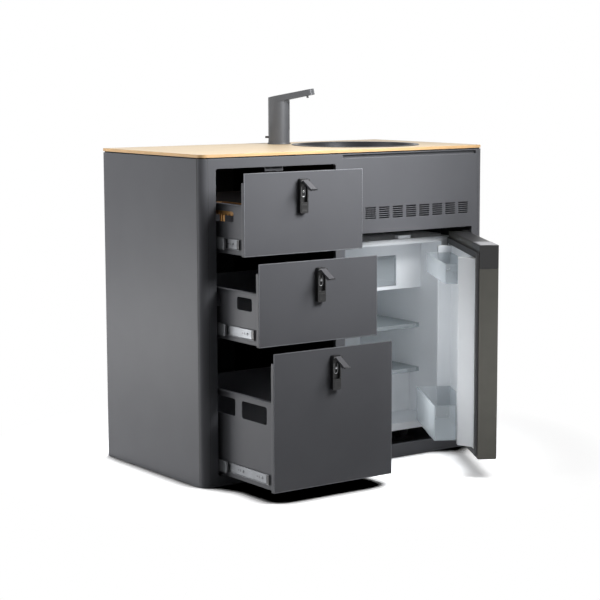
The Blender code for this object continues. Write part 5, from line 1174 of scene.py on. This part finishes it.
class POD_OT_studio(bpy.types.Operator):
    """Sets up the floor, the lamps, the world and the camera"""

    bl_idname = "pod.studio"
    bl_label = "Studio"

    def execute(self, context):
        studio = context.scene.pod_studio
        self.lay_floor()
        self.light_world(context.scene, studio.fill)
        for name, (setting, *lamp) in LAMPS.items():
            self.hang_lamp(name, getattr(studio, setting), *lamp)
        self.set_camera(context.scene, studio.lens)
        context.scene.view_settings.view_transform = "Standard"
        return {"FINISHED"}

    def lay_floor(self):
        """A plain pale floor that shows white where it is lit, keeps the pod's shadow, and has a
        painted contact shadow round its foot.
        """
        deselect()
        bpy.ops.mesh.primitive_plane_add(size=24, location=(0, 0, -FLOOR_DROP))
        floor = bpy.context.object
        floor.name = "studio_floor"
        tree, shader, place = new_finish("studio_white", Roughness=0.9, Specular_IOR_Level=0.0)
        shader.inputs["Base Color"].default_value = (*linear("#8c8c8c"), 1)
        # Painted shadow: an occlusion mask darkens the floor's colour round whatever stands or hangs
        # close to it
        near = add_node(
            tree, "ShaderNodeAmbientOcclusion", {"samples": 16}, {"Distance": PAINTED_SHADOW_REACH}
        )
        painted_contact_shadow = ramp(tree, near.outputs["AO"], [(0.5, (0.0, 0.0, 0.0)), (0.8, (1, 1, 1))])
        lifted = add_node(
            tree, "ShaderNodeVectorMath", {"operation": "SCALE"}, {0: painted_contact_shadow, "Scale": FLOOR_LIFT}
        )
        bright = add_node(tree, "ShaderNodeBsdfDiffuse", sockets={"Color": lifted.outputs[0]})
        # The lamps' own shadows show at half strength near the pod, and fade to plain white further off
        white = add_node(tree, "ShaderNodeEmission", sockets={"Color": painted_contact_shadow, "Strength": 1.0})
        reach = add_node(tree, "ShaderNodeVectorMath", {"operation": "LENGTH"}, {0: place})
        fade = {"From Min": SHADOW_FADE[0], "From Max": SHADOW_FADE[1], "To Min": SHADOW_WHITENING}
        away = add_node(tree, "ShaderNodeMapRange", sockets={"Value": reach.outputs["Value"], **fade})
        floor_seen = blend(tree, away.outputs["Result"], bright.outputs[0], white.outputs[0])
        mixed = blend(tree, background_ray(tree), shader.outputs[0], floor_seen)
        tree.links.new(mixed, tree.nodes["Material Output"].inputs["Surface"])
        floor.data.materials.append(bpy.data.materials["studio_white"])

    def light_world(self, scene, fill):
        """A faint even light all round, which the camera sees as white."""
        world = bpy.data.worlds.new("studio_world")
        scene.world = world
        world.use_nodes = True
        tree = world.node_tree
        light = tree.nodes["Background"]
        light.inputs["Color"].default_value = (*linear("#f3f5f8"), 1)
        light.inputs["Strength"].default_value = fill
        white = add_node(tree, "ShaderNodeBackground", sockets={"Color": (1, 1, 1, 1), "Strength": 1.0})
        mixed = blend(tree, background_ray(tree), light.outputs[0], white.outputs[0])
        tree.links.new(mixed, tree.nodes["World Output"].inputs["Surface"])

    def hang_lamp(self, name, power, place, target, size, spread):
        """A softbox that faces its target."""
        data = bpy.data.lights.new(name, "AREA")
        data.shape = "RECTANGLE"
        data.size, data.size_y = size
        data.energy = power
        data.spread = math.radians(spread)
        made = bpy.data.objects.new(name, data)
        made.location = place
        made.rotation_euler = (Vector(target) - Vector(place)).to_track_quat("-Z", "Y").to_euler()
        made.visible_camera = False
        made.visible_glossy = name not in LAMPS_WITHOUT_SHEEN
        bpy.context.scene.collection.objects.link(made)

    def set_camera(self, scene, lens):
        """The photograph's camera: turned to the right by yaw, down by pitch, and tilted by roll."""
        data = bpy.data.cameras.new("photo_camera")
        data.sensor_width = 36
        data.lens = lens
        camera = bpy.data.objects.new("photo_camera", data)
        scene.collection.objects.link(camera)
        yaw, pitch, roll = (math.radians(a) for a in CAMERA_TURN)
        forward = math.cos(pitch)
        ahead = Vector((math.sin(yaw) * forward, math.cos(yaw) * forward, -math.sin(pitch)))
        level = Vector((math.cos(yaw), -math.sin(yaw), 0))
        above = level.cross(ahead)
        right = level * math.cos(roll) + above * math.sin(roll)
        up = above * math.cos(roll) - level * math.sin(roll)
        turn = Matrix((right, up, -ahead)).transposed().to_4x4()
        camera.matrix_world = Matrix.Translation(CAMERA_PLACE) @ turn
        scene.camera = camera


class POD_PT_panel(bpy.types.Panel):
    """Lists the pod's settings and steps"""

    bl_idname = "POD_PT_panel"
    bl_label = "Kitchen Pod"
    bl_space_type = "VIEW_3D"
    bl_region_type = "UI"
    bl_category = "Kitchen Pod"

    def draw(self, context):
        for group in (context.scene.pod_colours, context.scene.pod_sizes, context.scene.pod_studio):
            for name in group.__annotations__:
                self.layout.prop(group, name)
        for step in STEPS:
            self.layout.operator(step.bl_idname)


GROUPS = {"pod_colours": PodColours, "pod_sizes": PodSizes, "pod_studio": PodStudio}
STEPS = (
    POD_OT_finishes,
    POD_OT_dress_frame,
    POD_OT_runner_fittings,
    POD_OT_latch_fittings,
    POD_OT_housing_fittings,
    POD_OT_sink_fittings,
    POD_OT_fridge_fittings,
    POD_OT_studio,
)
CLASSES = (*GROUPS.values(), *STEPS, POD_PT_panel)


def register():
    for made in CLASSES:
        bpy.utils.register_class(made)
    for name, group in GROUPS.items():
        setattr(bpy.types.Scene, name, bpy.props.PointerProperty(type=group))


def unregister():
    for name in GROUPS:
        delattr(bpy.types.Scene, name)
    for made in reversed(CLASSES):
        bpy.utils.unregister_class(made)


def main():
    register()
    for step in STEPS:
        area, name = step.bl_idname.split(".")
        getattr(getattr(bpy.ops, area), name)()


if __name__ == "__main__":
    main()
